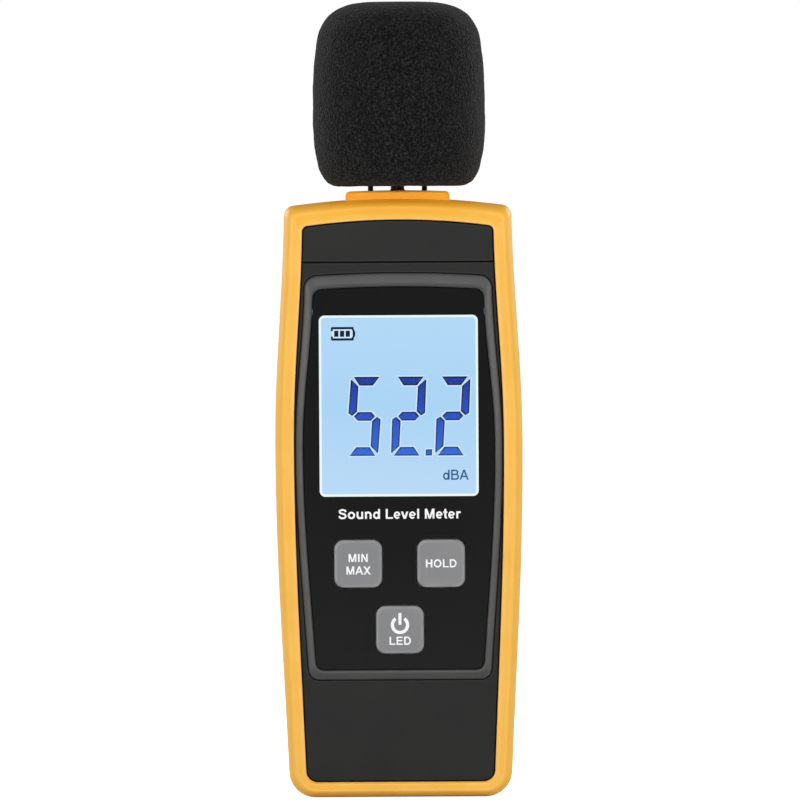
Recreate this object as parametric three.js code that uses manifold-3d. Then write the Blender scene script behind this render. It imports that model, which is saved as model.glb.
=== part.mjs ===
// A hand-held sound level meter as an assembly of its separate pieces, in millimetres.
// X is across the case, -Y is the front with the display, +Z runs up to the microphone.
// The origin is under the middle of the case, on the surface that the meter stands on.
import * as THREE from "three";
import { mergeVertices } from "three/addons/utils/BufferGeometryUtils.js";
import Module from "manifold-3d";

const wasm = await Module();
wasm.setup();

// Driving dimensions.
const FIT = 0.3; // gap between two pieces that are put together
const TINY = 0.05; // gap between two pieces that press flat on each other
const PARTING = 0.15; // half the gap between the front and rear halves
const WALL = 1.8; // shell wall
const FACE = 15; // the shells' outer faces, in front of and behind the parting plane
const CREST = 16; // the bumper's highest line over the faces
const STEP = 12.7; // where the shells step in from the bumper's side wall to its flange
const TONGUE = { from: 1.05, reach: 1.2 }; // the rear shell's rim inside the front shell's
const CURVE_STEPS = 3; // straight pieces in each stretch of a case outline and in each round corner

// The bumper's outer silhouette and its inner lip round the face.
const SILHOUETTE = {
  bottom: 0, top: 143.2, crown: 1.6, widest: 85,
  bottomWidth: 26.7, midWidth: 29.6, topWidth: 27.2, bottomRadius: 6.2, topRadius: 2.6,
};
const LIP = {
  bottom: 3.7, top: 138.1, crown: 1.4, widest: 85,
  bottomWidth: 22.6, midWidth: 25.1, topWidth: 22.9, bottomRadius: 2.8, topRadius: 1.5,
};
const WALL_SHARE = 0.42; // the bumper's side wall, as a share of the way from silhouette to lip

// The grey frame round the display panel, and the panel's own edge.
const BEZEL = {
  bottom: 28.2, top: 125.3, crown: 0.6, widest: 84,
  bottomWidth: 21.9, midWidth: 24.65, topWidth: 22.4, bottomRadius: 2.6, topRadius: 3,
};
const PANEL = {
  bottom: 30.5, top: 122.1, crown: 0.6, widest: 84,
  bottomWidth: 20.2, midWidth: 22.95, topWidth: 20.5, bottomRadius: 2, topRadius: 2.2,
};
const PANEL_FRONT = 15.15;
const PANEL_BACK = 14.1;
const POCKET = 13.9; // floor of the pocket that holds the bezel and the panel

const WINDOW = { x: 18.95, bottom: 71.8, top: 115.3, radius: 1.3 };
const GLASS = { x: 20.3, bottom: 68.6, top: 117, front: 13.9, back: 11.9 };
const BACKLIGHT = { x: 19.6, bottom: 73, top: 114.5, front: 11.6, back: 9 };
const BOARD = { x: 21.8, bottom: 16, top: 125, front: 7.9, back: 6.3 };

const KEY = { size: 11.4, radius: 2.2, face: 16.5, flange: 12.7, flangeBack: 11.9, travel: 1 };
const KEYS = {
  min_max: { x: -9.9, z: 55.9 },
  hold: { x: 9.9, z: 55.9 },
  power: { x: 0, z: 40.1 },
};
const GROOVE = { z: 127.95, width: 0.5, depth: 0.9 };

const CELL = { radius: 5.25, length: 43.5, nub: 1, nubRadius: 1.9, pitch: 11, y: 7.9 };
const BAY = { x: 17, bottom: 17.8, top: 69.4, floor: 2.5, wall: 1.2 };
const CONTACT = 0.4; // thickness of a contact plate
const DOOR = { x: 18.5, bottom: 14.5, top: 71.5, radius: 2.5, inner: 13.3, hook: 11 };
const LATCH = { x: 6.2, root: 63, top: 71.1, inner: 13.6, lip: 12.4 };
const TRIPOD = { z: 92, outer: 4.7, hole: 3.05, depth: 7.4 };

const COLLAR = { x: 12.45, top: 145.1, crown: 0.25, front: 12.6, foot: 139.4 };
const CAGE = { outer: 7.1, inner: 6, flange: 8.6, foot: 136.4, sill: 144.8, eaves: 162, top: 172.2 };
const CAGE_TURN = THREE.MathUtils.degToRad(-7);
const RIB = 1.5;
const CAPSULE = { radius: 4.85, bottom: 163.6, top: 170.2 };
const FOAM = { bottom: 146.1, top: 190, width: 20.57, bore: 7.45, boreTop: 173 };

const SCREWS = [[-17.5, 8.6], [17.5, 8.6], [-17.5, 131.6], [17.5, 131.6]];
const BOARD_SCREWS = [[-18.6, 20.5], [18.6, 20.5], [-18.6, 121.6], [18.6, 121.6]];

// --- solids -----------------------------------------------------------------------------------

// A closed three.js geometry as a manifold solid.
function solid(geometry) {
  const bare = geometry.index ? geometry.toNonIndexed() : geometry.clone();
  bare.deleteAttribute("normal");
  bare.deleteAttribute("uv");
  const merged = mergeVertices(bare, 1e-4);
  return new wasm.Manifold(new wasm.Mesh({
    numProp: 3,
    vertProperties: merged.getAttribute("position").array,
    triVerts: new Uint32Array(merged.index.array),
  }));
}

// A manifold solid as a three.js geometry.
function geometryOf(made) {
  const mesh = made.getMesh();
  const points = new Float32Array(mesh.numVert * 3);
  for (let i = 0; i < mesh.numVert; i++) {
    points.set(mesh.vertProperties.subarray(i * mesh.numProp, i * mesh.numProp + 3), i * 3);
  }
  return new THREE.BufferGeometry()
    .setAttribute("position", new THREE.BufferAttribute(points, 3))
    .setIndex(new THREE.BufferAttribute(mesh.triVerts, 1))
    .toNonIndexed();
}

const join = (...pieces) => pieces.reduce((all, piece) => all.add(piece));
const cut = (from, ...pieces) => pieces.reduce((left, piece) => left.subtract(piece), from);

// A face outline (x across, y up) made thick from y0 to y1, its front and back.
function slab(shape, y0, y1) {
  const made = new THREE.ExtrudeGeometry(shape, {
    depth: y1 - y0, bevelEnabled: false, curveSegments: CURVE_STEPS,
  });
  return solid(made.rotateX(Math.PI / 2).translate(0, y1, 0));
}

function box(x0, x1, y0, y1, z0, z1) {
  const made = new THREE.BoxGeometry(x1 - x0, y1 - y0, z1 - z0);
  return solid(made.translate((x0 + x1) / 2, (y0 + y1) / 2, (z0 + z1) / 2));
}

// A round bar along Z, and one along Y.
function post(radius, z0, z1, x = 0, y = 0, sides = 24) {
  const made = new THREE.CylinderGeometry(radius, radius, z1 - z0, sides);
  return solid(made.rotateX(Math.PI / 2).translate(x, y, (z0 + z1) / 2));
}

function peg(radius, y0, y1, x, z, sides = 12, endRadius = radius) {
  const made = new THREE.CylinderGeometry(endRadius, radius, y1 - y0, sides);
  return solid(made.translate(x, (y0 + y1) / 2, z));
}

// A turned piece round the Z axis from [radius, z] corners that start and end on the axis.
function turned(profile, sides = 24) {
  const corners = profile.map(([r, z]) => new THREE.Vector2(r, z));
  return solid(new THREE.LatheGeometry(corners, sides).rotateX(Math.PI / 2));
}

// A round bar along a smooth curve.
function wire(curve, radius, steps, sides = 8) {
  const section = new THREE.Shape();
  for (let i = 0; i < sides; i++) {
    const turn = (i / sides) * 2 * Math.PI;
    const point = [radius * Math.cos(turn), radius * Math.sin(turn)];
    if (i) section.lineTo(...point);
    else section.moveTo(...point);
  }
  section.closePath();
  return solid(new THREE.ExtrudeGeometry(section, { steps, extrudePath: curve }));
}

// --- outlines ---------------------------------------------------------------------------------

// Every number of one outline part of the way to another's.
function between(from, to, share) {
  const keys = Object.keys(from);
  return Object.fromEntries(keys.map((k) => [k, from[k] + (to[k] - from[k]) * share]));
}

// The same outline moved in all round.
function inset(outline, by) {
  return {
    ...outline,
    bottom: outline.bottom + by,
    top: outline.top - by,
    bottomWidth: outline.bottomWidth - by,
    midWidth: outline.midWidth - by,
    topWidth: outline.topWidth - by,
    bottomRadius: Math.max(0.5, outline.bottomRadius - by),
    topRadius: Math.max(0.5, outline.topRadius - by),
  };
}

// A barrel-sided outline: flat bottom, sides that swell to the middle, and a crowned top.
function barrel(o) {
  const shape = new THREE.Shape();
  const lowSide = o.bottom + o.bottomRadius;
  const highSide = o.top - o.crown - o.topRadius;
  const reach = 0.36; // how far each side curve's handles run up it
  shape.moveTo(0, o.bottom);
  shape.lineTo(o.bottomWidth - o.bottomRadius, o.bottom);
  shape.absarc(o.bottomWidth - o.bottomRadius, lowSide, o.bottomRadius, -Math.PI / 2, 0);
  shape.bezierCurveTo(
    o.bottomWidth + (o.midWidth - o.bottomWidth) * 0.45, lowSide + (o.widest - lowSide) * reach,
    o.midWidth, o.widest - (o.widest - lowSide) * reach,
    o.midWidth, o.widest,
  );
  shape.bezierCurveTo(
    o.midWidth, o.widest + (highSide - o.widest) * reach,
    o.topWidth + (o.midWidth - o.topWidth) * 0.15, highSide - (highSide - o.widest) * reach,
    o.topWidth, highSide,
  );
  shape.absarc(o.topWidth - o.topRadius, highSide, o.topRadius, 0, Math.PI / 2);
  shape.quadraticCurveTo((o.topWidth - o.topRadius) / 2, o.top, 0, o.top);
  const half = shape.getPoints(CURVE_STEPS);
  const mirrored = half.slice(1, -1).reverse().map((p) => new THREE.Vector2(-p.x, p.y));
  return [...half, ...mirrored];
}

const face = (outline) => new THREE.Shape(barrel(outline));

// A rectangle with round corners, about x and z.
function roundedRectangle(x, z, width, height, radius) {
  const shape = new THREE.Shape();
  const [right, up] = [width / 2, height / 2];
  const turns = [
    [right - radius, -up + radius, -0.5],
    [right - radius, up - radius, 0],
    [-right + radius, up - radius, 0.5],
    [-right + radius, -up + radius, 1],
  ];
  for (const [cx, cz, start] of turns) {
    shape.absarc(x + cx, z + cz, radius, start * Math.PI, (start + 0.5) * Math.PI);
  }
  shape.closePath();
  return shape;
}

// A ring of section points [share, y] carried round from an outer outline to an inner one.
function ring(outer, inner, section) {
  const out = barrel(outer);
  const inn = barrel(inner);
  const points = [];
  out.forEach((from, i) => {
    for (const [share, y] of section) {
      const at = from.clone().lerp(inn[i], share);
      points.push(at.x, y, at.y);
    }
  });
  const [rows, columns] = [out.length, section.length];
  const index = [];
  for (let i = 0; i < rows; i++) {
    for (let j = 0; j < columns; j++) {
      const [nextRow, nextColumn] = [(i + 1) % rows, (j + 1) % columns];
      const [a, b] = [i * columns + j, i * columns + nextColumn];
      const [c, d] = [nextRow * columns + nextColumn, nextRow * columns + j];
      index.push(a, b, c, a, c, d);
    }
  }
  const made = new THREE.BufferGeometry()
    .setAttribute("position", new THREE.Float32BufferAttribute(points, 3))
    .setIndex(index);
  const closed = solid(made);
  if (closed.volume() > 0) return closed;
  made.setIndex(index.slice().reverse());
  return solid(made);
}

// --- materials --------------------------------------------------------------------------------

const paint = (color, roughness, metalness = 0) =>
  new THREE.MeshStandardMaterial({ color, roughness, metalness });

const MATERIALS = {
  bumper: paint(0xf5a52a, 0.55),
  shell: paint(0x323232, 0.6),
  bezel: paint(0x575757, 0.45),
  gloss: paint(0x1c1c1c, 0.12),
  clear: paint(0xdfe9f2, 0.05),
  lcd: paint(0xabd6f7, 0.25),
  key: paint(0x8e8e90, 0.5),
  foam: paint(0x1e1e1e, 0.95),
  cage: paint(0x181818, 0.5),
  rubber: paint(0x202020, 0.8),
  carbon: paint(0x101010, 0.9),
  silicone: paint(0xb8b8b4, 0.6),
  board: paint(0x1d5a34, 0.5),
  chip: paint(0x151517, 0.4),
  white: paint(0xf2f2ee, 0.4),
  led: paint(0xfdf6cf, 0.3),
  steel: paint(0xb9bcc0, 0.3, 1),
  brass: paint(0xc9a24b, 0.35, 1),
  cell: paint(0x2b3a44, 0.35),
  redWire: paint(0xb01c1c, 0.5),
  blackWire: paint(0x141414, 0.5),
};

const meter = new THREE.Group();

function add(name, made, material) {
  const mesh = new THREE.Mesh(geometryOf(made), MATERIALS[material]);
  mesh.name = name;
  meter.add(mesh);
}

// --- case -------------------------------------------------------------------------------------

// side is -1 for the front half and 1 for the rear half, and y runs from the parting plane.
const stack = (side, near, far) => (side < 0 ? [-far, -near] : [near, far]);

function bumper(side) {
  const section = [
    [0, PARTING], [0, 12.2], [0.2, 15.2], [0.5, CREST], [1, 15.4],
    [1, STEP + FIT], [WALL_SHARE, STEP + FIT], [WALL_SHARE, PARTING],
  ];
  const rim = ring(SILHOUETTE, LIP, section.map(([share, y]) => [share, y * side]));
  const collar = new THREE.Shape();
  const edge = COLLAR.top - COLLAR.crown;
  collar.moveTo(-COLLAR.x, COLLAR.foot);
  collar.lineTo(COLLAR.x, COLLAR.foot);
  collar.lineTo(COLLAR.x, edge - 1);
  collar.quadraticCurveTo(COLLAR.x, edge, COLLAR.x - 1, edge);
  collar.quadraticCurveTo(0, COLLAR.top + COLLAR.crown, -COLLAR.x + 1, edge);
  collar.quadraticCurveTo(-COLLAR.x, edge, -COLLAR.x, edge - 1);
  collar.closePath();
  const boss = slab(collar, ...stack(side, PARTING, COLLAR.front));
  const under = slab(face(between(SILHOUETTE, LIP, WALL_SHARE)), ...stack(side, 0, STEP + FIT));
  const passage = post(CAGE.outer + FIT, COLLAR.foot - 5, COLLAR.top + 2);
  return cut(join(rim, cut(boss, under)), passage);
}

// The black shell's outside: a wide tub under the bumper's wall and a plateau inside its lip.
function shellBody(side) {
  const tub = inset(between(SILHOUETTE, LIP, WALL_SHARE), FIT);
  const body = join(
    slab(face(tub), ...stack(side, PARTING, STEP)),
    slab(face(inset(LIP, FIT)), ...stack(side, STEP - 0.5, FACE)),
  );
  const hollow = join(
    slab(face(inset(tub, WALL)), ...stack(side, 0, STEP - WALL)),
    slab(face(inset(LIP, FIT + 1)), ...stack(side, 0, FACE - 2)),
  );
  const { flange, foot, outer } = CAGE;
  const grip = box(-11, 11, ...stack(side, PARTING, 10.5), foot - 2, foot + 3);
  const shell = join(cut(body, hollow), grip);
  const flangeSeat = post(flange + FIT, foot - FIT, foot + 1.6 + FIT);
  const neck = post(outer + FIT, foot, COLLAR.top);
  const wireway = post(3.5, foot - 3, foot);
  // The rear shell has a tongue round its rim, and the front shell has the room for it.
  const rim = (from, to, near, far) => cut(
    slab(face(inset(tub, from)), near, far),
    slab(face(inset(tub, to)), near - 1, far + 1),
  );
  const { from, reach } = TONGUE;
  const rimmed = side < 0
    ? cut(shell, rim(from - FIT, WALL + FIT, -reach - FIT, 0))
    : join(shell, rim(from, WALL, -reach, PARTING + 0.1));
  return cut(rimmed, flangeSeat, neck, wireway);
}

function frontShell() {
  const bosses = SCREWS.map(([x, z]) => peg(3.1, -FACE + 1.8, -4, x, z));
  const boardBosses = BOARD_SCREWS.map(([x, z]) => peg(2.2, -FACE + 1.8, -BOARD.front - FIT, x, z));
  const pilots = [
    ...SCREWS.map(([x, z]) => peg(1.45, -12, -3, x, z, 8)),
    ...BOARD_SCREWS.map(([x, z]) => peg(1.05, -12.5, -BOARD.front, x, z, 8)),
  ];
  const pocket = slab(face(inset(BEZEL, -FIT)), -FACE - 1, -POCKET);
  const display = box(-GLASS.x - FIT, GLASS.x + FIT, -FACE, -10, GLASS.bottom - FIT, GLASS.top + FIT);
  const keyHoles = Object.values(KEYS).map(({ x, z }) =>
    slab(roundedRectangle(x, z, KEY.size + 0.8, KEY.size + 0.8, KEY.radius), -FACE, -12));
  const groove = box(
    -30, 30, -FACE - 1, -FACE + GROOVE.depth, GROOVE.z - GROOVE.width / 2, GROOVE.z + GROOVE.width / 2,
  );
  const shell = cut(shellBody(-1), pocket, display, groove, ...keyHoles);
  return cut(join(shell, ...bosses, ...boardBosses), ...pilots);
}

function rearShell() {
  const bosses = SCREWS.map(([x, z]) => peg(3.1, -4 + FIT, FACE - 1.8, x, z));
  const bores = SCREWS.flatMap(([x, z]) => [
    peg(1.6, -5, FACE, x, z, 8),
    peg(2.8, FACE - 3.2, FACE + 1, x, z, 16),
  ]);
  const { bottom, top, floor, wall } = BAY;
  const side = BAY.x + wall;
  const bayBlock = box(-side, side, floor - 0.9, FACE - 1.8, bottom - wall, top + wall);
  const bay = box(-BAY.x, BAY.x, floor, FACE + 1, bottom, top);
  const ledge = box(-side - 2, side + 2, FACE - 4, FACE - 1.8, DOOR.bottom - 1.8, DOOR.top + 1.8);
  const doorway = slab(roundedRectangle(
    0, (DOOR.bottom + DOOR.top) / 2,
    2 * (DOOR.x + FIT), DOOR.top - DOOR.bottom + 2 * FIT, DOOR.radius,
  ), FACE - 2, FACE + 1);
  const hookSlots = [-DOOR.hook, DOOR.hook].map((x) =>
    box(x - 2.8, x + 2.8, 10.8, FACE - 2, DOOR.bottom - 2.1, bottom + 0.1));
  const latchRoom = box(-LATCH.x - 0.7, LATCH.x + 0.7, 11.5, FACE, top - 1, DOOR.top + FIT);
  const tails = [
    [-CELL.pitch, bottom - 2, bottom + 1],
    [CELL.pitch, top - 1, top + 2],
  ].map(([x, z0, z1]) => box(x - 1.5, x + 1.5, floor + 0.4, floor + 1.6, z0, z1));
  const tripodBoss = peg(TRIPOD.outer + 2, FACE - TRIPOD.depth - 1.4, FACE - 1.8, 0, TRIPOD.z, 24);
  const tripodSeat = peg(TRIPOD.outer + FIT, FACE - TRIPOD.depth - FIT, FACE + 1, 0, TRIPOD.z, 24);
  const shell = join(shellBody(1), ...bosses, bayBlock, ledge, tripodBoss);
  return cut(shell, ...bores, bay, doorway, ...hookSlots, latchRoom, tripodSeat, ...tails);
}

// --- display and keys -------------------------------------------------------------------------

function bezelFrame() {
  return ring(BEZEL, PANEL, [
    [0, -POCKET - TINY], [0, -15.05], [0.12, -15.25], [0.72, -15.85], [0.9, -15.85],
    [1, -15.6], [1, -POCKET - TINY],
  ]);
}

const windowShape = (grow) => roundedRectangle(
  0, (WINDOW.bottom + WINDOW.top) / 2,
  2 * (WINDOW.x + grow), WINDOW.top - WINDOW.bottom + 2 * grow, WINDOW.radius + grow,
);

function displayPanel() {
  const sheet = slab(face(inset(PANEL, 0.1)), -PANEL_FRONT, -PANEL_BACK);
  const keyHoles = Object.values(KEYS).map(({ x, z }) =>
    slab(roundedRectangle(x, z, KEY.size + 0.6, KEY.size + 0.6, KEY.radius), -FACE - 1, -PANEL_BACK + 1));
  return cut(sheet, slab(windowShape(TINY), -FACE - 1, -PANEL_BACK + 1), ...keyHoles);
}

function lcdFrame() {
  const outside = box(
    -GLASS.x - 1.5, GLASS.x + 1.5, -STEP, -BOARD.front - FIT, GLASS.bottom - 1.5, GLASS.top + 1.5,
  );
  const glassRoom = box(
    -GLASS.x - FIT, GLASS.x + FIT, -FACE, -GLASS.back + FIT, GLASS.bottom - FIT, GLASS.top + FIT,
  );
  const lightRoom = box(-BACKLIGHT.x - FIT, BACKLIGHT.x + FIT, -FACE, 0, GLASS.bottom, GLASS.top - 0.2);
  return cut(outside, glassRoom, lightRoom);
}

function key({ x, z }) {
  return join(
    slab(roundedRectangle(x, z, KEY.size, KEY.size, KEY.radius), -KEY.face + 0.5, -KEY.flange + 0.1),
    slab(roundedRectangle(x, z, KEY.size - 1, KEY.size - 1, KEY.radius - 0.5), -KEY.face, -KEY.face + 0.6),
    slab(roundedRectangle(x, z, KEY.size + 2, KEY.size + 2, KEY.radius), -KEY.flange, -KEY.flangeBack),
    peg(3.4, -KEY.flangeBack - 0.1, -9.6, x, z, 16),
  );
}

function keypadMat() {
  const sheet = slab(roundedRectangle(0, 48, 37, 31, 2), -9.4, -BOARD.front - FIT);
  const places = Object.values(KEYS);
  const skirts = places.map(({ x, z }) => peg(4.6, -10.7, -9.3, x, z, 16, 5.8));
  const wells = places.map(({ x, z }) => peg(3.75, -11, -7, x, z, 16, 5.2));
  return cut(join(sheet, ...skirts), ...wells);
}

// --- battery bay ------------------------------------------------------------------------------

// A cell whose positive nub points up (way 1) or down (way -1), between its two end contacts.
function cell(x, way) {
  const low = BAY.bottom + TINY + CONTACT + (way > 0 ? SPRING_LENGTH : 0.1);
  const [can0, can1] = way > 0 ? [low, low + CELL.length] : [low + CELL.nub, low + CELL.nub + CELL.length];
  const nub = way > 0 ? [can1 - 0.1, can1 + CELL.nub] : [low, low + CELL.nub + 0.1];
  return join(post(CELL.radius, can0, can1, x, CELL.y), post(CELL.nubRadius, ...nub, x, CELL.y, 12));
}

const SPRING_LENGTH = BAY.top - BAY.bottom - 2 * (CONTACT + TINY) - CELL.length - CELL.nub - 0.2;

// A cone spring that stands on its contact plate and narrows towards the cell.
class ConeSpring extends THREE.Curve {
  constructor(x, foot, way) {
    super();
    Object.assign(this, { x, foot, way });
  }
  getPoint(t, target = new THREE.Vector3()) {
    const turn = t * 3.25 * 2 * Math.PI;
    const radius = 3.9 - 2.1 * t;
    const up = 0.5 + (SPRING_LENGTH - 1.1) * t;
    return target.set(
      this.x + radius * Math.cos(turn), CELL.y + radius * Math.sin(turn), this.foot + this.way * up,
    );
  }
}

function contact(from, to, end) {
  const way = end === "bottom" ? 1 : -1;
  const wallAt = BAY[end] + way * TINY;
  const [z0, z1] = way > 0 ? [wallAt, wallAt + CONTACT] : [wallAt - CONTACT, wallAt];
  const plate = box(from - 4.4, to + 4.4, CELL.y - 4.2, CELL.y + 4, z0, z1);
  if (from !== to) return plate;
  const tail = box(
    from - 1, from + 1, BAY.floor + 0.7, BAY.floor + 1.3,
    Math.min(z0, z0 - way * 2.4), Math.max(z1, z1 - way * 2.4),
  );
  const riser = box(from - 1, from + 1, BAY.floor + 0.7, CELL.y - 4, z0, z1);
  return join(plate, tail, riser);
}

function batteryDoor() {
  const middle = (DOOR.bottom + DOOR.top) / 2;
  const outline = roundedRectangle(0, middle, 2 * DOOR.x, DOOR.top - DOOR.bottom, DOOR.radius);
  const panel = slab(outline, DOOR.inner, FACE);
  const latchCut = box(-LATCH.x - FIT, LATCH.x + FIT, 10, FACE + 1, LATCH.root - FIT, DOOR.top + 1);
  const hooks = [-DOOR.hook, DOOR.hook].flatMap((x) => [
    box(x - 2.5, x + 2.5, 11.6, STEP, DOOR.bottom - 1.8, DOOR.bottom + 2),
    box(x - 2.5, x + 2.5, 11.7, DOOR.inner + 0.1, DOOR.bottom + 0.5, DOOR.bottom + 2),
  ]);
  const grips = [0, 1, 2, 3, 4].map((i) => box(-9, 9, FACE - 0.1, FACE + 0.35, 20 + i * 2.4, 20.9 + i * 2.4));
  return join(cut(panel, latchCut), ...hooks, ...grips);
}

function doorLatch() {
  return join(
    box(-LATCH.x, LATCH.x, LATCH.inner, FACE, LATCH.root, LATCH.top),
    box(-LATCH.x, LATCH.x, LATCH.lip, LATCH.inner + 0.1, LATCH.top - 1.1, LATCH.top),
    box(-4, 4, FACE - 0.1, FACE + 0.6, LATCH.top - 2.8, LATCH.top - 1.2),
  );
}

// --- microphone -------------------------------------------------------------------------------

function micCage() {
  const { outer, inner, flange, foot, sill, eaves, top } = CAGE;
  const tube = turned([
    [0, foot], [flange, foot], [flange, foot + 1.6], [outer, foot + 1.6], [outer, top - 0.8],
    [outer - 0.8, top], [inner - 0.4, top], [inner - 0.4, top - 0.9], [inner, top - 1],
    [inner, foot + 1.6], [0, foot + 1.6],
  ]);
  const windows = [0, 1, 2, 3].map((i) => {
    const reach = outer + 1;
    const opening = new THREE.BoxGeometry(reach, reach, eaves - sill);
    opening.translate(reach / 2 + RIB / 2, reach / 2 + RIB / 2, (sill + eaves) / 2);
    return solid(opening.rotateZ(CAGE_TURN + (i * Math.PI) / 2));
  });
  return cut(tube, ...windows, box(-2.2, 2.2, -1.2, 1.2, foot - 1, foot + 3));
}

function micWire(side) {
  const x = side * 0.9;
  const points = [
    [x, 0, CAPSULE.bottom - 0.2], [x, 0, 154], [x, 0, 143], [x, 0, 134],
    [x * 1.4, -2, 128], [x * 2, -4.6, 123.4], [x * 2.4, -BOARD.back + 0.9, 119],
  ];
  const route = new THREE.CatmullRomCurve3(points.map((p) => new THREE.Vector3(...p)));
  return wire(route, 0.5, 18);
}

function batteryWire(x, z, boardZ) {
  const points = [
    [x, BAY.floor + 1, z], [x, BAY.floor + 0.2, z + Math.sign(boardZ - z) * -1.6],
    [x * 1.45, 0, z], [x * 1.65, -3, z + (boardZ - z) * 0.5], [x * 1.65, -BOARD.back + 1, boardZ],
  ];
  const route = new THREE.CatmullRomCurve3(points.map((p) => new THREE.Vector3(...p)));
  return wire(route, 0.6, 8);
}

function windscreen() {
  const { bottom, top, width, bore, boreTop } = FOAM;
  return turned([
    [0, boreTop], [bore - 0.7, boreTop], [bore, boreTop - 0.7], [bore, bottom + 0.3],
    [12, bottom], [15.5, bottom + 0.2], [17.8, bottom + 1.6], [19.4, bottom + 5],
    [20.3, bottom + 11], [width, bottom + 18], [20.4, top - 18.5], [19.7, top - 11],
    [18.8, top - 6.6], [16.6, top - 3], [14, top - 1.3], [10.5, top - 0.3], [0, top],
  ], 32);
}

// A pan-head screw driven along -Y (way -1) or +Y (way 1), from under its head at y.
function screw(x, y, z, way, head, shank, length) {
  const [h0, h1] = way < 0 ? [y, y + head * 0.7] : [y - head * 0.7, y];
  const [s0, s1] = way < 0 ? [y - length, y + 0.1] : [y - 0.1, y + length];
  const top = way < 0 ? h1 : h0;
  const slot = [0, 1].map((i) => (i
    ? box(x - 0.3, x + 0.3, top - 0.5, top + 0.5, z - head * 0.6, z + head * 0.6)
    : box(x - head * 0.6, x + head * 0.6, top - 0.5, top + 0.5, z - 0.3, z + 0.3)));
  return cut(join(peg(head, h0, h1, x, z), peg(shank, s0, s1, x, z, 8)), ...slot);
}

// --- assembly ---------------------------------------------------------------------------------

add("front_bumper", bumper(-1), "bumper");
add("rear_bumper", bumper(1), "bumper");
add("front_shell", frontShell(), "shell");
add("rear_shell", rearShell(), "shell");

add("bezel_frame", bezelFrame(), "bezel");
add("display_panel", displayPanel(), "gloss");
add("display_window", slab(windowShape(0), -PANEL_FRONT, -PANEL_BACK), "clear");
add("lcd_frame", lcdFrame(), "white");
add("lcd_glass", box(
  -GLASS.x, GLASS.x, -GLASS.front, -GLASS.back, GLASS.bottom, GLASS.top,
), "lcd");
add("backlight_panel", box(
  -BACKLIGHT.x, BACKLIGHT.x, -BACKLIGHT.front, -BACKLIGHT.back, BACKLIGHT.bottom, BACKLIGHT.top,
), "white");
add("zebra_strip", box(-19, 19, -11.6, -BOARD.front - FIT, 69.2, 71.4), "rubber");
for (const [side, x] of [["left", -9], ["right", 9]]) {
  add("backlight_led_" + side, box(x - 1.6, x + 1.6, -10.4, -BOARD.front - FIT, 114.8, 116.4), "led");
}

for (const [name, place] of Object.entries(KEYS)) {
  add("key_" + name, key(place), "key");
  add("key_pill_" + name, peg(2.5, -9.5, -9, place.x, place.z), "carbon");
}
add("keypad_mat", keypadMat(), "silicone");

const boardHoles = BOARD_SCREWS.map(([x, z]) => peg(1.3, -9, -5, x, z, 12));
const board = box(-BOARD.x, BOARD.x, -BOARD.front, -BOARD.back, BOARD.bottom, BOARD.top);
add("main_board", cut(board, ...boardHoles), "board");
const onBoard = -BOARD.back + TINY; // the parts on the board's rear face stand here
add("controller_chip", turned([[0, 0], [7, 0], [6.2, 1], [3.5, 1.8], [0, 2]], 20)
  .rotate([-90, 0, 0]).translate([0, onBoard, 84]), "chip");
add("preamp_chip", box(-2.5, 2.5, onBoard, onBoard + 1.5, 104, 108), "chip");
add("capacitor_left", peg(2.5, onBoard, onBoard + 5.4, -12, 108), "steel");
add("capacitor_right", peg(2.5, onBoard, onBoard + 5.4, 12, 108), "steel");
add("crystal", box(10, 13, onBoard, onBoard + 3.2, 80, 88), "steel");

const CELLS = [["left", -CELL.pitch, 1], ["middle", 0, -1], ["right", CELL.pitch, 1]];
for (const [name, x, way] of CELLS) {
  add("battery_" + name, cell(x, way), "cell");
  const foot = way > 0 ? BAY.bottom + TINY + CONTACT : BAY.top - TINY - CONTACT;
  add("battery_spring_" + name, wire(new ConeSpring(x, foot + way * 0.1, way), 0.4, 39, 5), "steel");
}
add("contact_minus", contact(-CELL.pitch, -CELL.pitch, "bottom"), "steel");
add("contact_bridge_bottom", contact(0, CELL.pitch, "bottom"), "steel");
add("contact_bridge_top", contact(-CELL.pitch, 0, "top"), "steel");
add("contact_plus", contact(CELL.pitch, CELL.pitch, "top"), "steel");
add("battery_wire_minus", batteryWire(-CELL.pitch, BAY.bottom - 2.9, 27), "blackWire");
add("battery_wire_plus", batteryWire(CELL.pitch, BAY.top + 2.9, 64), "redWire");

add("battery_door", batteryDoor(), "shell");
add("door_latch", doorLatch(), "shell");
add("tripod_nut", cut(
  peg(TRIPOD.outer, FACE - TRIPOD.depth, FACE + 0.1, 0, TRIPOD.z, 24),
  peg(TRIPOD.hole, FACE - TRIPOD.depth - 1, FACE + 1, 0, TRIPOD.z, 24),
), "brass");

add("mic_cage", micCage(), "cage");
add("mic_grommet", turned([
  [CAPSULE.radius + TINY, 163], [CAGE.inner - TINY, 163], [CAGE.inner - TINY, 170.6],
  [CAPSULE.radius + TINY, 170.6], [CAPSULE.radius + TINY, 163],
]), "rubber");
add("mic_capsule", turned([
  [0, CAPSULE.bottom], [CAPSULE.radius, CAPSULE.bottom], [CAPSULE.radius, CAPSULE.top], [0, CAPSULE.top],
]), "steel");
add("mic_wire_signal", micWire(-1), "redWire");
add("mic_wire_ground", micWire(1), "blackWire");
add("windscreen", windscreen(), "foam");

SCREWS.forEach(([x, z], i) => {
  add("case_screw_" + (i + 1), screw(x, FACE - 3.2 + TINY, z, -1, 2.5, 1.2, 20.5), "steel");
});
BOARD_SCREWS.forEach(([x, z], i) => {
  add("board_screw_" + (i + 1), screw(x, -BOARD.back + TINY, z, -1, 1.9, 0.85, 5.2), "steel");
});

export default meter;
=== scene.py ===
import math
from collections import namedtuple

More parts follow.
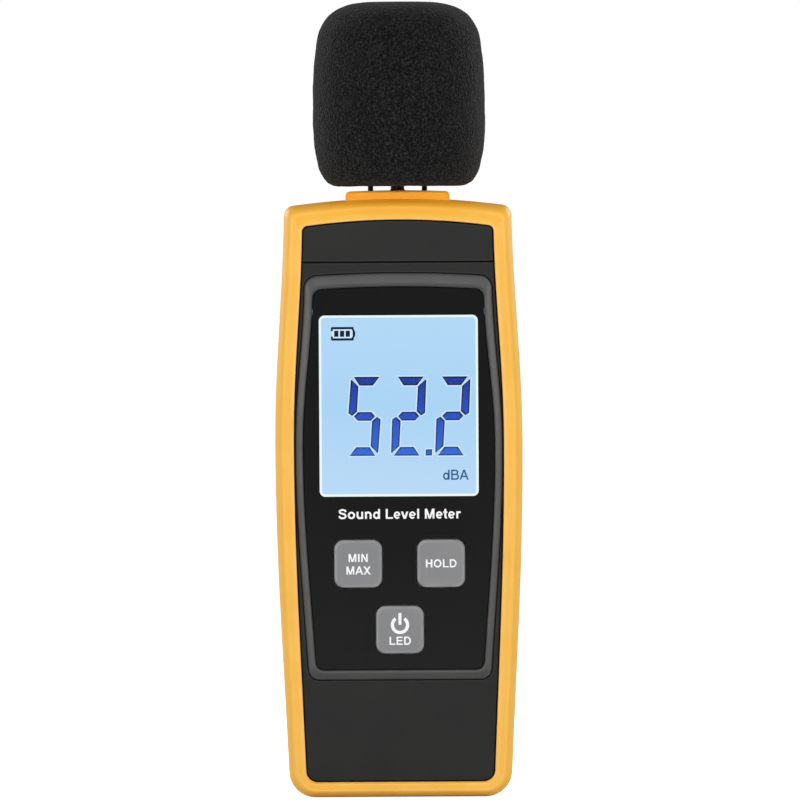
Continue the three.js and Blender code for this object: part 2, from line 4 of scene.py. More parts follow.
import bmesh
import bpy
from mathutils import Matrix, Vector, noise


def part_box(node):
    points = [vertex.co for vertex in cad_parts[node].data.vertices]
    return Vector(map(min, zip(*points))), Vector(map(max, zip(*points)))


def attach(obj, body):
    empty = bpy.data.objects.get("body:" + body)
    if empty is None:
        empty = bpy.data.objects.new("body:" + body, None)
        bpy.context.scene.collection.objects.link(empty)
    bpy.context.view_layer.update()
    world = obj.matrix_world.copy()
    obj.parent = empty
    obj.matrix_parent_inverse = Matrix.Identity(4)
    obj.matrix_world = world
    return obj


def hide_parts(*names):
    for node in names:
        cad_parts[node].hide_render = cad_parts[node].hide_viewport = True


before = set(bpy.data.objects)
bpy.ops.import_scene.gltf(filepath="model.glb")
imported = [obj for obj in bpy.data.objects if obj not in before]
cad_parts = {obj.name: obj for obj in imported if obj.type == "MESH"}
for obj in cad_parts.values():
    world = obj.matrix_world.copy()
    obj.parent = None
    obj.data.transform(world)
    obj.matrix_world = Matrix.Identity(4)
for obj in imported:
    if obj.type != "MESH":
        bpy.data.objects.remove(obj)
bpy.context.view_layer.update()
scene = bpy.context.scene

# --- Bumper -----------------------------------------------------------------------------------
# Soft orange rubber, moulded over the edge of each half of the case as a rounded bead.
# The two halves meet in a fine line round the side, and each has half of the collar that
# stands round the neck of the microphone.

MM = 0.001
PARTING = 0.15  # from the parting line to the rim of each shell
HALF_GAP = 0.03  # from the parting line to each half of the rubber
SHOULDER = 13  # depth of the rubber's inner step, just clear of the step in the case
WALL_SHARE = 0.42  # the side wall's share of the way from the silhouette to the lip
Outline = namedtuple("Outline", (
    "bottom top crown widest low_width mid_width high_width low_radius high_radius"
))
SILHOUETTE = Outline(0, 143.2, 1.6, 85, 26.7, 29.6, 27.2, 6.2, 2.6)
LIP = Outline(3.7, 138.1, 1.4, 85, 22.6, 25.1, 22.9, 2.8, 1.5)
COLLAR_WIDTH = 12.45
COLLAR_FRONT = 12.6
NECK_RADIUS = 7.4


def paint(red, green, blue):
    """A colour as it is mixed for a screen, 0 to 255, as the shader wants it."""
    return tuple((c / 255 / 12.92) if c <= 10 else ((c / 255 + 0.055) / 1.055) ** 2.4
                 for c in (red, green, blue))


def sweep(x, z, across, up, start, end, steps=12):
    """Points along part of an oval, from one angle in degrees to another."""
    turns = [math.radians(start + (end - start) * i / steps) for i in range(steps + 1)]
    return [(x + across * math.cos(t), z + up * math.sin(t)) for t in turns]


def corner(x, z, radius, start, end, steps=8):
    return sweep(x, z, radius, radius, start, end, steps)


def bowed(handles, steps=16):
    """Points along a Bezier curve, leaving out its first."""
    order = len(handles) - 1
    points = []
    for i in range(1, steps + 1):
        t = i / steps
        weights = [math.comb(order, k) * (1 - t) ** (order - k) * t ** k
                   for k in range(order + 1)]
        points.append(tuple(sum(w * h[axis] for w, h in zip(weights, handles))
                            for axis in (0, 1)))
    return points


def barrel(o):
    """An outline with a flat bottom, sides that swell to the middle and a crowned top."""
    low, high = o.bottom + o.low_radius, o.top - o.crown - o.high_radius
    below, above = 0.36 * (o.widest - low), 0.36 * (high - o.widest)
    shoulder = o.high_width - o.high_radius
    half = [(0, o.bottom)]
    half += corner(o.low_width - o.low_radius, low, o.low_radius, -90, 0)
    half += bowed([(o.low_width, low), (0.55 * o.low_width + 0.45 * o.mid_width, low + below),
                   (o.mid_width, o.widest - below), (o.mid_width, o.widest)])
    half += bowed([(o.mid_width, o.widest), (o.mid_width, o.widest + above),
                   (0.85 * o.high_width + 0.15 * o.mid_width, high - above),
                   (o.high_width, high)])
    half += corner(shoulder, high, o.high_radius, 0, 90)[1:]
    half += bowed([(shoulder, high + o.high_radius), (shoulder / 2, o.top), (0, o.top)])
    return half + [(-x, z) for x, z in half[-2:0:-1]]


def between(outer, inner, share):
    return Outline(*(a + (b - a) * share for a, b in zip(outer, inner)))


def inset(o, by):
    return Outline(o.bottom + by, o.top - by, o.crown, o.widest, o.low_width - by,
                   o.mid_width - by, o.high_width - by,
                   max(0.3, o.low_radius - by), max(0.3, o.high_radius - by))


def at_depth(outline, y):
    return [(x, y, z) for x, z in outline]


def new_piece(name, mesh):
    """The finished bmesh as an object in the scene."""
    bmesh.ops.recalc_face_normals(mesh, faces=mesh.faces)
    data = bpy.data.meshes.new(name)
    mesh.to_mesh(data)
    mesh.free()
    piece = bpy.data.objects.new(name, data)
    scene.collection.objects.link(piece)
    return piece


def band(mesh, near, far):
    """The faces between two loops that have as many points."""
    for i in range(len(near)):
        j = (i + 1) % len(near)
        mesh.faces.new((near[i], near[j], far[j], far[i]))


def skin(name, loops, ring=False):
    """A closed surface through loops of points: a ring of loops, or one capped at both ends."""
    mesh = bmesh.new()
    rows = [[mesh.verts.new(Vector(point) * MM) for point in loop] for loop in loops]
    for near, far in zip(rows, rows[1:] + rows[:1] if ring else rows[1:]):
        band(mesh, near, far)
    if not ring:
        mesh.faces.new(rows[0])
        mesh.faces.new(rows[-1])
    return new_piece(name, mesh)


def shaped_mesh(piece):
    """A mesh of the piece as its modifiers leave it."""
    graph = bpy.context.evaluated_depsgraph_get()
    return bpy.data.meshes.new_from_object(piece.evaluated_get(graph))


def settle(piece):
    """Makes the shape that the piece's modifiers give it the piece's own."""
    shaped = shaped_mesh(piece)
    piece.modifiers.clear()
    piece.data = shaped


def carve(piece, *tools, how="DIFFERENCE"):
    """Cuts the tools out of the piece, or joins them to it, and uses them up."""
    for tool in tools:
        step = piece.modifiers.new("carve", "BOOLEAN")
        step.operation, step.solver, step.object = how, "EXACT", tool
        settle(piece)
        bpy.data.objects.remove(tool)
    return piece


def round_over(piece, by, sharp):
    """Rounds the edges that are sharper than so many degrees."""
    step = piece.modifiers.new("round", "BEVEL")
    step.width, step.segments = by * MM, 2
    step.limit_method, step.angle_limit = "ANGLE", math.radians(sharp)


def mould(piece, sharp=35, round_edges=0):
    """Smooths the shading, keeps true edges, and may round them over by a few hundredths."""
    if round_edges:
        round_over(piece, round_edges, sharp)
        settle(piece)
    mesh = bmesh.new()
    mesh.from_mesh(piece.data)
    for face in mesh.faces:
        face.smooth = True
    for edge in mesh.edges:
        edge.smooth = edge.calc_face_angle(0) < math.radians(sharp)
    mesh.to_mesh(piece.data)
    mesh.free()
    step = piece.modifiers.new("flat faces rule", "WEIGHTED_NORMAL")
    step.keep_sharp = True
    return piece


def stand_in(piece, material, body, slot, *nodes):
    """Gives the piece its material and puts it in place of its CAD nodes, on their body."""
    piece.data.materials.append(material)
    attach(piece, body)
    if nodes:
        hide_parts(*nodes)


def new_group(name, inputs, outputs):
    """An empty shader node group with numbers going in and out."""
    group = bpy.data.node_groups.new(name, "ShaderNodeTree")
    for label, value in inputs.items():
        socket = group.interface.new_socket(label, in_out="INPUT",
                                            socket_type="NodeSocketFloat")
        socket.default_value = value
    for label in outputs:
        group.interface.new_socket(label, in_out="OUTPUT", socket_type="NodeSocketFloat")
    return group, group.nodes.new("NodeGroupInput"), group.nodes.new("NodeGroupOutput")


def node(tree, kind, **values):
    """A new shader node with its values set: From_Min means the socket called From Min."""
    made = tree.nodes.new("ShaderNode" + kind)
    for socket, value in values.items():
        made.inputs[socket.replace("_", " ")].default_value = value
    return made


def placed(tree, group, **values):
    """A shader node group put to use in a material, with its own values."""
    made = tree.nodes.new("ShaderNodeGroup")
    made.node_tree = group
    for socket, value in values.items():
        made.inputs[socket].default_value = value
    return made


def wire(tree, *pairs):
    """Links each output to the input beside it."""
    for output, socket in pairs:
        tree.links.new(output, socket)


def own_space(tree):
    """Coordinates in the piece's own space."""
    return node(tree, "TexCoord").outputs["Object"]


def share_of_height(tree, low, high):
    """0 at one height of the piece and 1 at the other."""
    parts = node(tree, "SeparateXYZ")
    share = node(tree, "MapRange", From_Min=low * MM, From_Max=high * MM)
    wire(tree, (own_space(tree), parts.inputs["Vector"]),
         (parts.outputs["Z"], share.inputs["Value"]))
    return share.outputs["Result"]


def moulded_grain():
    """Fine grain and slow mottling of a moulded surface, in the piece's own space."""
    group, given, put = new_group(
        "moulded grain", {"Grain": 3000.0, "Mottle": 60.0}, ("Height", "Patch"))
    place = own_space(group)
    for source, detail, target in (("Grain", 3, "Height"), ("Mottle", 2, "Patch")):
        cloud = node(group, "TexNoise", Detail=detail)
        wire(group, (place, cloud.inputs["Vector"]),
             (given.outputs[source], cloud.inputs["Scale"]),
             (cloud.outputs["Fac"], put.inputs[target]))
    return group


def rubbed_and_highlit_edges():
    """A mask of the outer edges, broken up by noise: wear where hands and tables rub them, and on
    some materials a painted highlight.
    """
    group, given, put = new_group("rubbed and highlit edges", {"Reach": 0.0006, "Amount": 4.0}, ("Rub and highlight",))
    eased, surface = node(group, "Bevel"), node(group, "NewGeometry")
    eased.samples = 4
    across, turn = node(group, "VectorMath"), node(group, "Math")
    across.operation, turn.operation = "DOT_PRODUCT", "SUBTRACT"
    turn.inputs[0].default_value = 1
    strength, broken = node(group, "Math"), node(group, "Math")
    strength.operation = broken.operation = "MULTIPLY"
    strength.use_clamp = True
    cloud = node(group, "TexNoise", Scale=260, Detail=4)
    wire(group,
         (given.outputs["Reach"], eased.inputs["Radius"]),
         (eased.outputs["Normal"], across.inputs[0]),
         (surface.outputs["Normal"], across.inputs[1]),
         (across.outputs["Value"], turn.inputs[1]),
         (turn.outputs[0], strength.inputs[0]),
         (given.outputs["Amount"], strength.inputs[1]),
         (own_space(group), cloud.inputs["Vector"]),
         (strength.outputs[0], broken.inputs[0]),
         (cloud.outputs["Fac"], broken.inputs[1]),
         (broken.outputs[0], put.inputs["Rub and highlight"]))
    return group


GRAIN_GROUP = moulded_grain()
RUB_AND_HIGHLIGHT_GROUP = rubbed_and_highlit_edges()


def plain_material(name, colour, roughness, sockets=()):
    """A material with the fixed values of its shader set, and its nodes and links."""
    material = bpy.data.materials.new(name)
    material.use_nodes = True
    tree = material.node_tree
    shader = tree.nodes["Principled BSDF"]
    shader.inputs["Base Color"].default_value = (*colour, 1)
    shader.inputs["Roughness"].default_value = roughness
    for socket, value in dict(sockets).items():
        shader.inputs[socket].default_value = value
    return material, tree, shader


def moulded_material(name, colour, patch_colour, roughness, grain, depth,
                     rub_and_highlight_colour=None, rub_and_highlight_amount=4.0, rub_and_highlight_reach=0.6, sockets=()):
    """A moulded or cast surface: mottled colour, fine grain and, where asked, lighter edges, which
    are rubbed wear on some materials and a painted highlight on others.
    """
    material, tree, shader = plain_material(name, colour, roughness[0], sockets)
    surface = placed(tree, GRAIN_GROUP, Grain=1 / (grain * MM), Mottle=70)
    blend = node(tree, "MixRGB", Color1=(*colour, 1), Color2=(*patch_colour, 1))
    spread = node(tree, "MapRange", From_Min=0.35, From_Max=0.65)
    sheen = node(tree, "MapRange", To_Min=roughness[0], To_Max=roughness[1])
    bump = node(tree, "Bump", Distance=depth * MM, Strength=1)
    wire(tree,
         (surface.outputs["Patch"], spread.inputs["Value"]),
         (spread.outputs["Result"], blend.inputs["Fac"]),
         (surface.outputs["Patch"], sheen.inputs["Value"]),
         (sheen.outputs["Result"], shader.inputs["Roughness"]),
         (surface.outputs["Height"], bump.inputs["Height"]),
         (bump.outputs["Normal"], shader.inputs["Normal"]))
    shown = blend.outputs["Color"]
    # Lighter edges: rubbed wear on some materials, a painted highlight on others.
    if rub_and_highlight_colour:
        edges = placed(tree, RUB_AND_HIGHLIGHT_GROUP, Amount=rub_and_highlight_amount, Reach=rub_and_highlight_reach * MM)
        worn_and_highlit = node(tree, "MixRGB", Color2=(*rub_and_highlight_colour, 1))
        wire(tree, (edges.outputs["Rub and highlight"], worn_and_highlit.inputs["Fac"]), (shown, worn_and_highlit.inputs["Color1"]))
        shown = worn_and_highlit.outputs["Color"]
    wire(tree, (shown, shader.inputs["Base Color"]))
    return material


# The pale edge colour on the orange rubber is a painted highlight along the crest of the bead and
# its rounded edges.
ORANGE_RUBBER = moulded_material(
    "orange rubber", paint(251, 186, 60), paint(254, 192, 69), (0.46, 0.38), 0.4, 0.02,
    rub_and_highlight_colour=paint(255, 212, 130), rub_and_highlight_amount=9, rub_and_highlight_reach=1.5,
    sockets={"Specular IOR Level": 0.4})


def paint_shade_with_height(material, colour, low, high):
    """Takes the colour over to a richer, darker one between two heights: painted shade."""
    tree = material.node_tree
    base = tree.nodes["Principled BSDF"].inputs["Base Color"]
    deep = node(tree, "MixRGB", Color2=(*colour, 1))
    wire(tree, (share_of_height(tree, low, high), deep.inputs["Fac"]),
         (base.links[0].from_socket, deep.inputs["Color1"]), (deep.outputs["Color"], base))


# Deeper, darker orange toward the top round the collar: painted shade standing in for the shade
# under the windscreen.
paint_shade_with_height(ORANGE_RUBBER, paint(250, 166, 30), 139, 143.5)

# Across the bead: a share of the way from silhouette to lip, and the depth from the parting.
BEAD = [
    (0.045, HALF_GAP), (0.012, 0.18), (0, 0.42), (0, 6), (0, 11), (0.008, 12), (0.045, 13.1),
    (0.11, 14.1), (0.19, 14.9), (0.28, 15.5), (0.36, 15.84), (0.42, 15.97), (0.46, 16),
    (0.51, 15.96), (0.6, 15.8), (0.7, 15.6), (0.8, 15.42), (0.88, 15.36), (0.925, 15.47),
    (0.96, 15.58), (0.985, 15.52), (1, 15.3), (1, SHOULDER), (WALL_SHARE, SHOULDER),
    (WALL_SHARE, HALF_GAP),
]


def collar_outline(by):
    """The collar from the front, moved in all round: it flares into the bumper at its foot."""
    width, edge, round_top = COLLAR_WIDTH - by, 144.85 - by, max(0.25, 1 - by)
    right = [(width + 1, 139.4), (width + 1, 142.3)]
    right += corner(width + 1, 143.3, 1, -90, -180, 5)[1:]
    right += corner(width - round_top, edge - round_top, round_top, 0, 90, 6)
    right += bowed([(width - round_top, edge), (width / 2, edge + 0.25), (0, edge + 0.25)], 10)
    return right + [(-x, z) for x, z in right[-2::-1]]


def neck_bore():
    """The cutter for the round hole that holds the neck of the microphone."""
    turns = [i * math.tau / 96 for i in range(96)]
    return skin("neck", [[(NECK_RADIUS * math.cos(t), NECK_RADIUS * math.sin(t), z)
                          for t in turns] for z in (130, 150)])


def bumper_half(name, side):
    """One half: side is -1 for the front and 1 for the rear."""
    rim = skin(name, [at_depth(barrel(between(SILHOUETTE, LIP, share)), y * side)
                      for share, y in BEAD], ring=True)
    collar = skin("collar", [at_depth(collar_outline(by), y * side) for by, y in (
        (0.14, HALF_GAP), (0, 0.3), (0, COLLAR_FRONT - 1), (0.12, COLLAR_FRONT - 0.5),
        (0.5, COLLAR_FRONT - 0.12), (1, COLLAR_FRONT))])
    under = barrel(between(SILHOUETTE, LIP, WALL_SHARE))
    carve(collar, skin("under", [at_depth(under, y * side) for y in (-1, SHOULDER)]))
    carve(rim, collar, how="UNION")
    return mould(carve(rim, neck_bore()), 30)


for side, name in ((-1, "front"), (1, "rear")):
    half = bumper_half("bumper_" + name, side)
    stand_in(half, ORANGE_RUBBER, "case", "bumper", name + "_bumper")

# --- Case -------------------------------------------------------------------------------------
# Two black shells of moulded plastic with a fine spark-eroded grain. The front one has the
# pocket for the display frame and a straight groove across its head; the rear one holds the
# battery bay, the tripod boss and the four screw wells.

FACE = 15
STEP = 12.7
FIT = 0.3
POCKET = 13.9
BEZEL = Outline(28.2, 125.3, 0.6, 84, 21.9, 24.65, 22.4, 2.6, 3)
GLASS_MIDDLE, GLASS_WIDTH, GLASS_HEIGHT = 92.8, 40.6, 48.4
KEY_SIZE = 11.4
KEY_PLACES = {"min_max": (-9.9, 55.9), "hold": (9.9, 55.9), "power": (0, 40.1)}
SCREW_WELLS = [(-17.5, 8.6), (17.5, 8.6), (-17.5, 131.6), (17.5, 131.6)]
BAY_HALF, BAY_BOTTOM, BAY_TOP, BAY_FLOOR = 17, 17.8, 69.4, 2.5
DOOR_HALF, DOOR_BOTTOM, DOOR_TOP = 18.5, 14.5, 71.5
HOOKS, HOOK_HALF, LATCH_HALF = (-11, 11), 2.5, 6.2
TRIPOD_HEIGHT, TRIPOD_RADIUS, TRIPOD_DEPTH = 92, 4.7, 7.4
GROOVE_LOW, GROOVE_HIGH, GROOVE_DEPTH = 127.7, 128.2, 0.9

CASE_PLASTIC = moulded_material(
    "black case plastic", paint(24, 24, 24), paint(28, 28, 27), (0.58, 0.5), 0.3, 0.014,
    rub_and_highlight_colour=paint(78, 78, 76), rub_and_highlight_amount=2.5, sockets={"Specular IOR Level": 0.35})


def rounded(x, z, width, height, radius, steps=8):
    """A rectangle with round corners."""
    across, up = width / 2 - radius, height / 2 - radius
    return [point for sx, sz, start in ((1, -1, -90), (1, 1, 0), (-1, 1, 90), (-1, -1, 180))
            for point in corner(x + sx * across, z + sz * up, radius, start, start + 90, steps)]


def block(x0, x1, y0, y1, z0, z1):
    """A square cutter, or a rib to join on."""
    face = [(x0, z0), (x1, z0), (x1, z1), (x0, z1)]
    return skin("block", [at_depth(face, y0), at_depth(face, y1)])


def plug(outline, y0, y1):
    return skin("plug", [at_depth(outline, y0), at_depth(outline, y1)])


def disc(x, z, radius):
    return corner(x, z, radius, 0, 360, 40)[:-1]


TUB = inset(between(SILHOUETTE, LIP, WALL_SHARE), FIT)


def shell_walls(rim):
    """From the ceiling inside, round the rim, to the edge of the outer face."""
    return [
        (inset(LIP, 1.3), FACE - 2), (inset(LIP, 1.3), STEP - 1.8), (inset(TUB, 1.8), STEP - 1.8),
        *rim, (TUB, PARTING), (TUB, STEP - 0.2), (inset(TUB, 0.2), STEP),
        (inset(LIP, FIT), STEP), (inset(LIP, FIT), FACE - 0.3),
        (inset(LIP, FIT + 0.09), FACE - 0.09), (inset(LIP, FIT + 0.3), FACE),
    ]


# The rear shell's rim has a tongue that sits inside the front shell's.
front = skin("case_front", [at_depth(barrel(o), -y) for o, y in shell_walls(
    [(inset(TUB, 1.8), 1.35), (inset(TUB, 0.85), 1.35), (inset(TUB, 0.85), PARTING)])])
carve(front, *(plug(disc(x, z, 3.1), -FACE + 1.8, -4) for x, z in SCREW_WELLS), how="UNION")
carve(
    front,
    plug(barrel(inset(BEZEL, -FIT)), -FACE - 1, -POCKET),
    plug(rounded(0, GLASS_MIDDLE, GLASS_WIDTH + 2 * FIT, GLASS_HEIGHT + 2 * FIT, 0.8),
         -FACE, -10),
    *(plug(rounded(x, z, KEY_SIZE + 0.8, KEY_SIZE + 0.8, 2.3), -FACE, -12)
      for x, z in KEY_PLACES.values()),
    *(plug(disc(x, z, 1.45), -12, -3) for x, z in SCREW_WELLS),
    block(-30, 30, -FACE - 1, -FACE + GROOVE_DEPTH, GROOVE_LOW, GROOVE_HIGH),
    neck_bore(),
)
stand_in(mould(front, 30), CASE_PLASTIC, "case", "shell", "front_shell")
# The faces inside the groove get a near-black material: painted shadow in the groove.
front.data.materials.append(moulded_material(
    "groove painted shadow", paint(3, 3, 3), paint(5, 5, 5), (0.95, 0.9), 0.3, 0.01))
for face in front.data.polygons:
    spot = face.center / MM
    in_groove = GROOVE_LOW - 0.01 < spot.z < GROOVE_HIGH + 0.01
    face.material_index = int(in_groove and 0.1 < spot.y + FACE < GROOVE_DEPTH + 0.05)

rear = skin("case_rear", [at_depth(barrel(o), y) for o, y in shell_walls(
    [(inset(TUB, 1.8), -1.2), (inset(TUB, 1.05), -1.2), (inset(TUB, 1.05), PARTING)])])
DOOR_MIDDLE, DOOR_HEIGHT = (DOOR_BOTTOM + DOOR_TOP) / 2, DOOR_TOP - DOOR_BOTTOM
carve(
    rear,
    *(plug(disc(x, z, 3.1), -3.7, FACE - 1.8) for x, z in SCREW_WELLS),
    block(-18.2, 18.2, BAY_FLOOR - 0.9, FACE - 1.8, BAY_BOTTOM - 1.2, BAY_TOP + 1.2),
    block(-20.2, 20.2, FACE - 4, FACE - 1.9, DOOR_BOTTOM - 1.8, DOOR_TOP + 1.8),
    plug(disc(0, TRIPOD_HEIGHT, TRIPOD_RADIUS + 2), FACE - TRIPOD_DEPTH - 1.4, FACE - 1.8),
    how="UNION",
)
carve(
    rear,
    block(-BAY_HALF, BAY_HALF, BAY_FLOOR, FACE + 1, BAY_BOTTOM, BAY_TOP),
    plug(rounded(0, DOOR_MIDDLE, 2 * DOOR_HALF + 0.6, DOOR_HEIGHT + 0.6, 2.6),
         FACE - 2, FACE + 1),
    *(block(x - HOOK_HALF - FIT, x + HOOK_HALF + FIT, 10.8, FACE - 2, DOOR_BOTTOM - 2.1,
            BAY_BOTTOM + 0.1) for x in HOOKS),
    block(-LATCH_HALF - 0.7, LATCH_HALF + 0.7, 11.5, FACE, BAY_TOP - 1, DOOR_TOP + FIT),
    *(block(x - 1.5, x + 1.5, BAY_FLOOR + 0.4, BAY_FLOOR + 1.6, z, z + 3)
      for x, z in ((-11, BAY_BOTTOM - 2), (11, BAY_TOP - 1))),
    *(plug(disc(x, z, 1.6), -5, FACE) for x, z in SCREW_WELLS),
    *(plug(disc(x, z, 2.8), FACE - 3.2, FACE + 1) for x, z in SCREW_WELLS),
    plug(disc(0, TRIPOD_HEIGHT, TRIPOD_RADIUS + FIT), FACE - TRIPOD_DEPTH - FIT, FACE + 1),
    neck_bore(),
)
stand_in(mould(rear, 30), CASE_PLASTIC, "case", "shell", "rear_shell")

# --- Display frame ----------------------------------------------------------------------------
# A separate grey frame pressed into the pocket round the display. Its face slopes up to a
# ridge near the inner edge and then drops to the panel.

PANEL = Outline(30.5, 122.1, 0.6, 84, 20.2, 22.95, 20.5, 2, 2.2)
# The pale edge colour on the grey frame is a painted highlight along its ridge and edges.
GREY_PLASTIC = moulded_material(
    "grey frame plastic", paint(66, 66, 67), paint(72, 72, 72), (0.42, 0.36), 0.18, 0.006,
    rub_and_highlight_colour=paint(140, 140, 140), rub_and_highlight_amount=7)
BEZEL_SECTION = [  # share of the way from its outer to its inner edge, and depth
    (0, POCKET + 0.05), (0, 14.85), (0.03, 15.05), (0.09, 15.2), (0.2, 15.36), (0.45, 15.6),
    (0.62, 15.78), (0.72, 15.85), (0.82, 15.83), (0.91, 15.7), (0.97, 15.45), (1, 15.1),
    (1, POCKET + 0.05),
]
bezel = skin("display_frame", [at_depth(barrel(between(BEZEL, PANEL, share)), -y)
                               for share, y in BEZEL_SECTION], ring=True)
stand_in(mould(bezel, 30), GREY_PLASTIC, "case", "bezel", "bezel_frame")

# --- Display panel ----------------------------------------------------------------------------
# A gloss black acrylic sheet, printed on its back, with three key holes and a clear window.
# The name of the instrument is screen-printed in white.

PANEL_FRONT, PANEL_BACK = 15.15, 14.1
WINDOW_HALF, WINDOW_BOTTOM, WINDOW_TOP = 18.95, 72, 115.2
WINDOW_MIDDLE = (WINDOW_BOTTOM + WINDOW_TOP) / 2


def window_outline(grow):
    return rounded(0, WINDOW_MIDDLE, 2 * (WINDOW_HALF + grow),
                   WINDOW_TOP - WINDOW_BOTTOM + 2 * grow, 1.3 + grow)


def scuffed_gloss(name, colour, roughness, sockets=()):
    """A polished sheet: even gloss, faintly hazed by wiping and handling."""
    material, tree, shader = plain_material(name, colour, roughness[0], sockets)
    haze = node(tree, "TexNoise", Scale=45, Detail=6)
    spread = node(tree, "MapRange", To_Min=roughness[0], To_Max=roughness[1])
    wire(tree, (own_space(tree), haze.inputs["Vector"]),
         (haze.outputs["Fac"], spread.inputs["Value"]),
         (spread.outputs["Result"], shader.inputs["Roughness"]))
    return material


PANEL_GLOSS = scuffed_gloss("gloss black panel", paint(7, 7, 7), (0.1, 0.2),
                           {"Specular IOR Level": 0.4})
panel = skin("display_panel_sheet", [at_depth(barrel(o), -y) for o, y in (
    (inset(PANEL, 0.1), PANEL_BACK), (inset(PANEL, 0.1), PANEL_FRONT - 0.08),
    (inset(PANEL, 0.18), PANEL_FRONT))])
carve(panel, plug(window_outline(0.05), -FACE - 1, -PANEL_BACK + 1),
      *(plug(rounded(x, z, KEY_SIZE + 0.6, KEY_SIZE + 0.6, 2.25), -FACE - 1, -PANEL_BACK + 1)
        for x, z in KEY_PLACES.values()))
stand_in(mould(panel, 30), PANEL_GLOSS, "case", "gloss_panel", "display_panel")

CLEAR = scuffed_gloss("clear window", (1, 1, 1), (0.0, 0.05),
                      {"Transmission Weight": 1.0, "IOR": 1.3})
window = skin("window_sheet", [at_depth(window_outline(grow), -y) for grow, y in (
    (0, PANEL_BACK), (0, PANEL_FRONT - 0.06), (-0.06, PANEL_FRONT))])
stand_in(mould(window), CLEAR, "case", "window", "display_window")


def smoothed(points, pieces):
    """Many points along a smooth curve through a few."""
    out = []
    ends = [points[0]] + list(points) + [points[-1]]
    for a, b, c, d in zip(ends, ends[1:], ends[2:], ends[3:]):
        for i in range(pieces):
            t = i / pieces
            out.append(tuple(
                0.5 * (2 * q + (r - p) * t + (2 * p - 5 * q + 4 * r - s) * t * t
                       + (3 * q - p - 3 * r + s) * t ** 3)
                for p, q, r, s in zip(a, b, c, d)))
    return out + [points[-1]]


def ribbon(path, width, closed=False):
    """The two edges of a stroke of even width along a path, mitred at its bends."""
    sides = ([], [])
    count = len(path)
    for i, (x, z) in enumerate(path):
        before = path[i - 1] if i or closed else None
        after = path[(i + 1) % count] if i < count - 1 or closed else None
        ways = [Vector((b[0] - a[0], b[1] - a[1])).normalized()
                for a, b in ((before, (x, z)), ((x, z), after)) if a and b]
        along = sum(ways, Vector((0, 0))).normalized()
        reach = width / 2 / max(0.5, along.dot(ways[0]))
        for side, way in zip(sides, (1, -1)):
            side.append((x - along.y * reach * way, z + along.x * reach * way))
    return sides


def stroke(path, width=138):
    left_edge, right_edge = ribbon(path, width)
    return left_edge + right_edge[::-1], None


def hoop(path, width=138):
    return ribbon(path, width, closed=True)


def leg(x0, x1, low=0, high=716, width=150):
    """A slanting stroke cut off level at both ends."""
    return [(x0 - width / 2, low), (x0 + width / 2, low),
            (x1 + width / 2, high), (x1 - width / 2, high)], None


LAYER = 0.004  # each stroke of a letter lies this much over the one before
# Letters on a body of 1000: how far each one moves the next, and its strokes.
LETTERS = {
    " ": (278, []),
    "A": (722, [leg(80, 358), leg(642, 364), stroke([(180, 225), (540, 225)], 120)]),
    "D": (722, [hoop([(144, 62), (340, 62), *sweep(350, 358, 258, 296, -78, 78), (340, 654),
                      (144, 654)])]),
    "E": (667, [stroke([(145, 716), (145, 0)]), stroke([(145, 60), (618, 60)], 120),
                stroke([(145, 370), (585, 370)], 120), stroke([(145, 656), (610, 656)], 120)]),
    "H": (722, [leg(145, 145), leg(577, 577), stroke([(145, 374), (577, 374)], 124)]),
    "I": (278, [leg(139, 139, width=144)]),
    "L": (611, [leg(145, 145, width=144), stroke([(145, 60), (585, 60)], 120)]),
    "M": (833, [leg(139, 139, width=136), leg(694, 694, width=136), leg(414, 166, width=140),
                leg(418, 667, width=140)]),
    "N": (722, [leg(141, 141, width=136), leg(580, 580, width=136), leg(572, 150)]),
    "O": (778, [hoop(sweep(388, 358, 276, 304, 0, 345, 23))]),
    "S": (667, [stroke(smoothed([(552, 505), (510, 612), (338, 660), (165, 608), (118, 520),
                                 (190, 425), (340, 378), (492, 325), (553, 205), (500, 100),
                                 (335, 55), (160, 102), (100, 228)], 4), 128)]),
    "X": (667, [leg(90, 572, width=165), leg(577, 85, width=165)]),
    "d": (611, [hoop(sweep(284, 259, 178, 206, 0, 340, 17), 130), leg(475, 475, width=138)]),
    "e": (556, [stroke([(110, 250), (450, 250)], 104),
                stroke(sweep(278, 259, 178, 206, 0, 318, 16), 122)]),
    "l": (278, [leg(139, 139, width=138)]),
    "n": (611, [leg(135, 135, high=519, width=138),
                stroke(sweep(304, 315, 169, 148, 165, 0) + [(473, 0)])]),
    "o": (611, [hoop(sweep(306, 259, 200, 206, 0, 340, 17), 132)]),
    "r": (389, [leg(135, 135, high=519, width=138),
                stroke(smoothed([(140, 290), (175, 400), (262, 458), (390, 448)], 4), 124)]),
    "t": (333, [stroke([(158, 690), (158, 170), *sweep(260, 165, 102, 105, 190, 285, 6)]),
                stroke([(14, 464), (306, 464)], 110)]),
    "u": (611, [leg(475, 475, high=519, width=138),
                stroke([(137, 519), *sweep(306, 204, 169, 148, 180, 345)])]),
    "v": (556, [leg(272, 84, high=519), leg(284, 472, high=519)]),
    "thin d": (556, [hoop(sweep(262, 259, 170, 216, 0, 340, 17), 114), leg(458, 458, width=116)]),
    "thin B": (667, [hoop([(122, 382), (400, 382), *sweep(408, 212, 170, 170, 78, -78),
                           (400, 42), (122, 42)], 112),
                     hoop([(122, 674), (370, 674), *sweep(376, 528, 154, 146, 78, -78),
                           (370, 382), (122, 382)], 112)]),
    "thin A": (667, [leg(62, 330, width=124), leg(605, 338, width=124),
                     stroke([(160, 235), (510, 235)], 104)]),
}


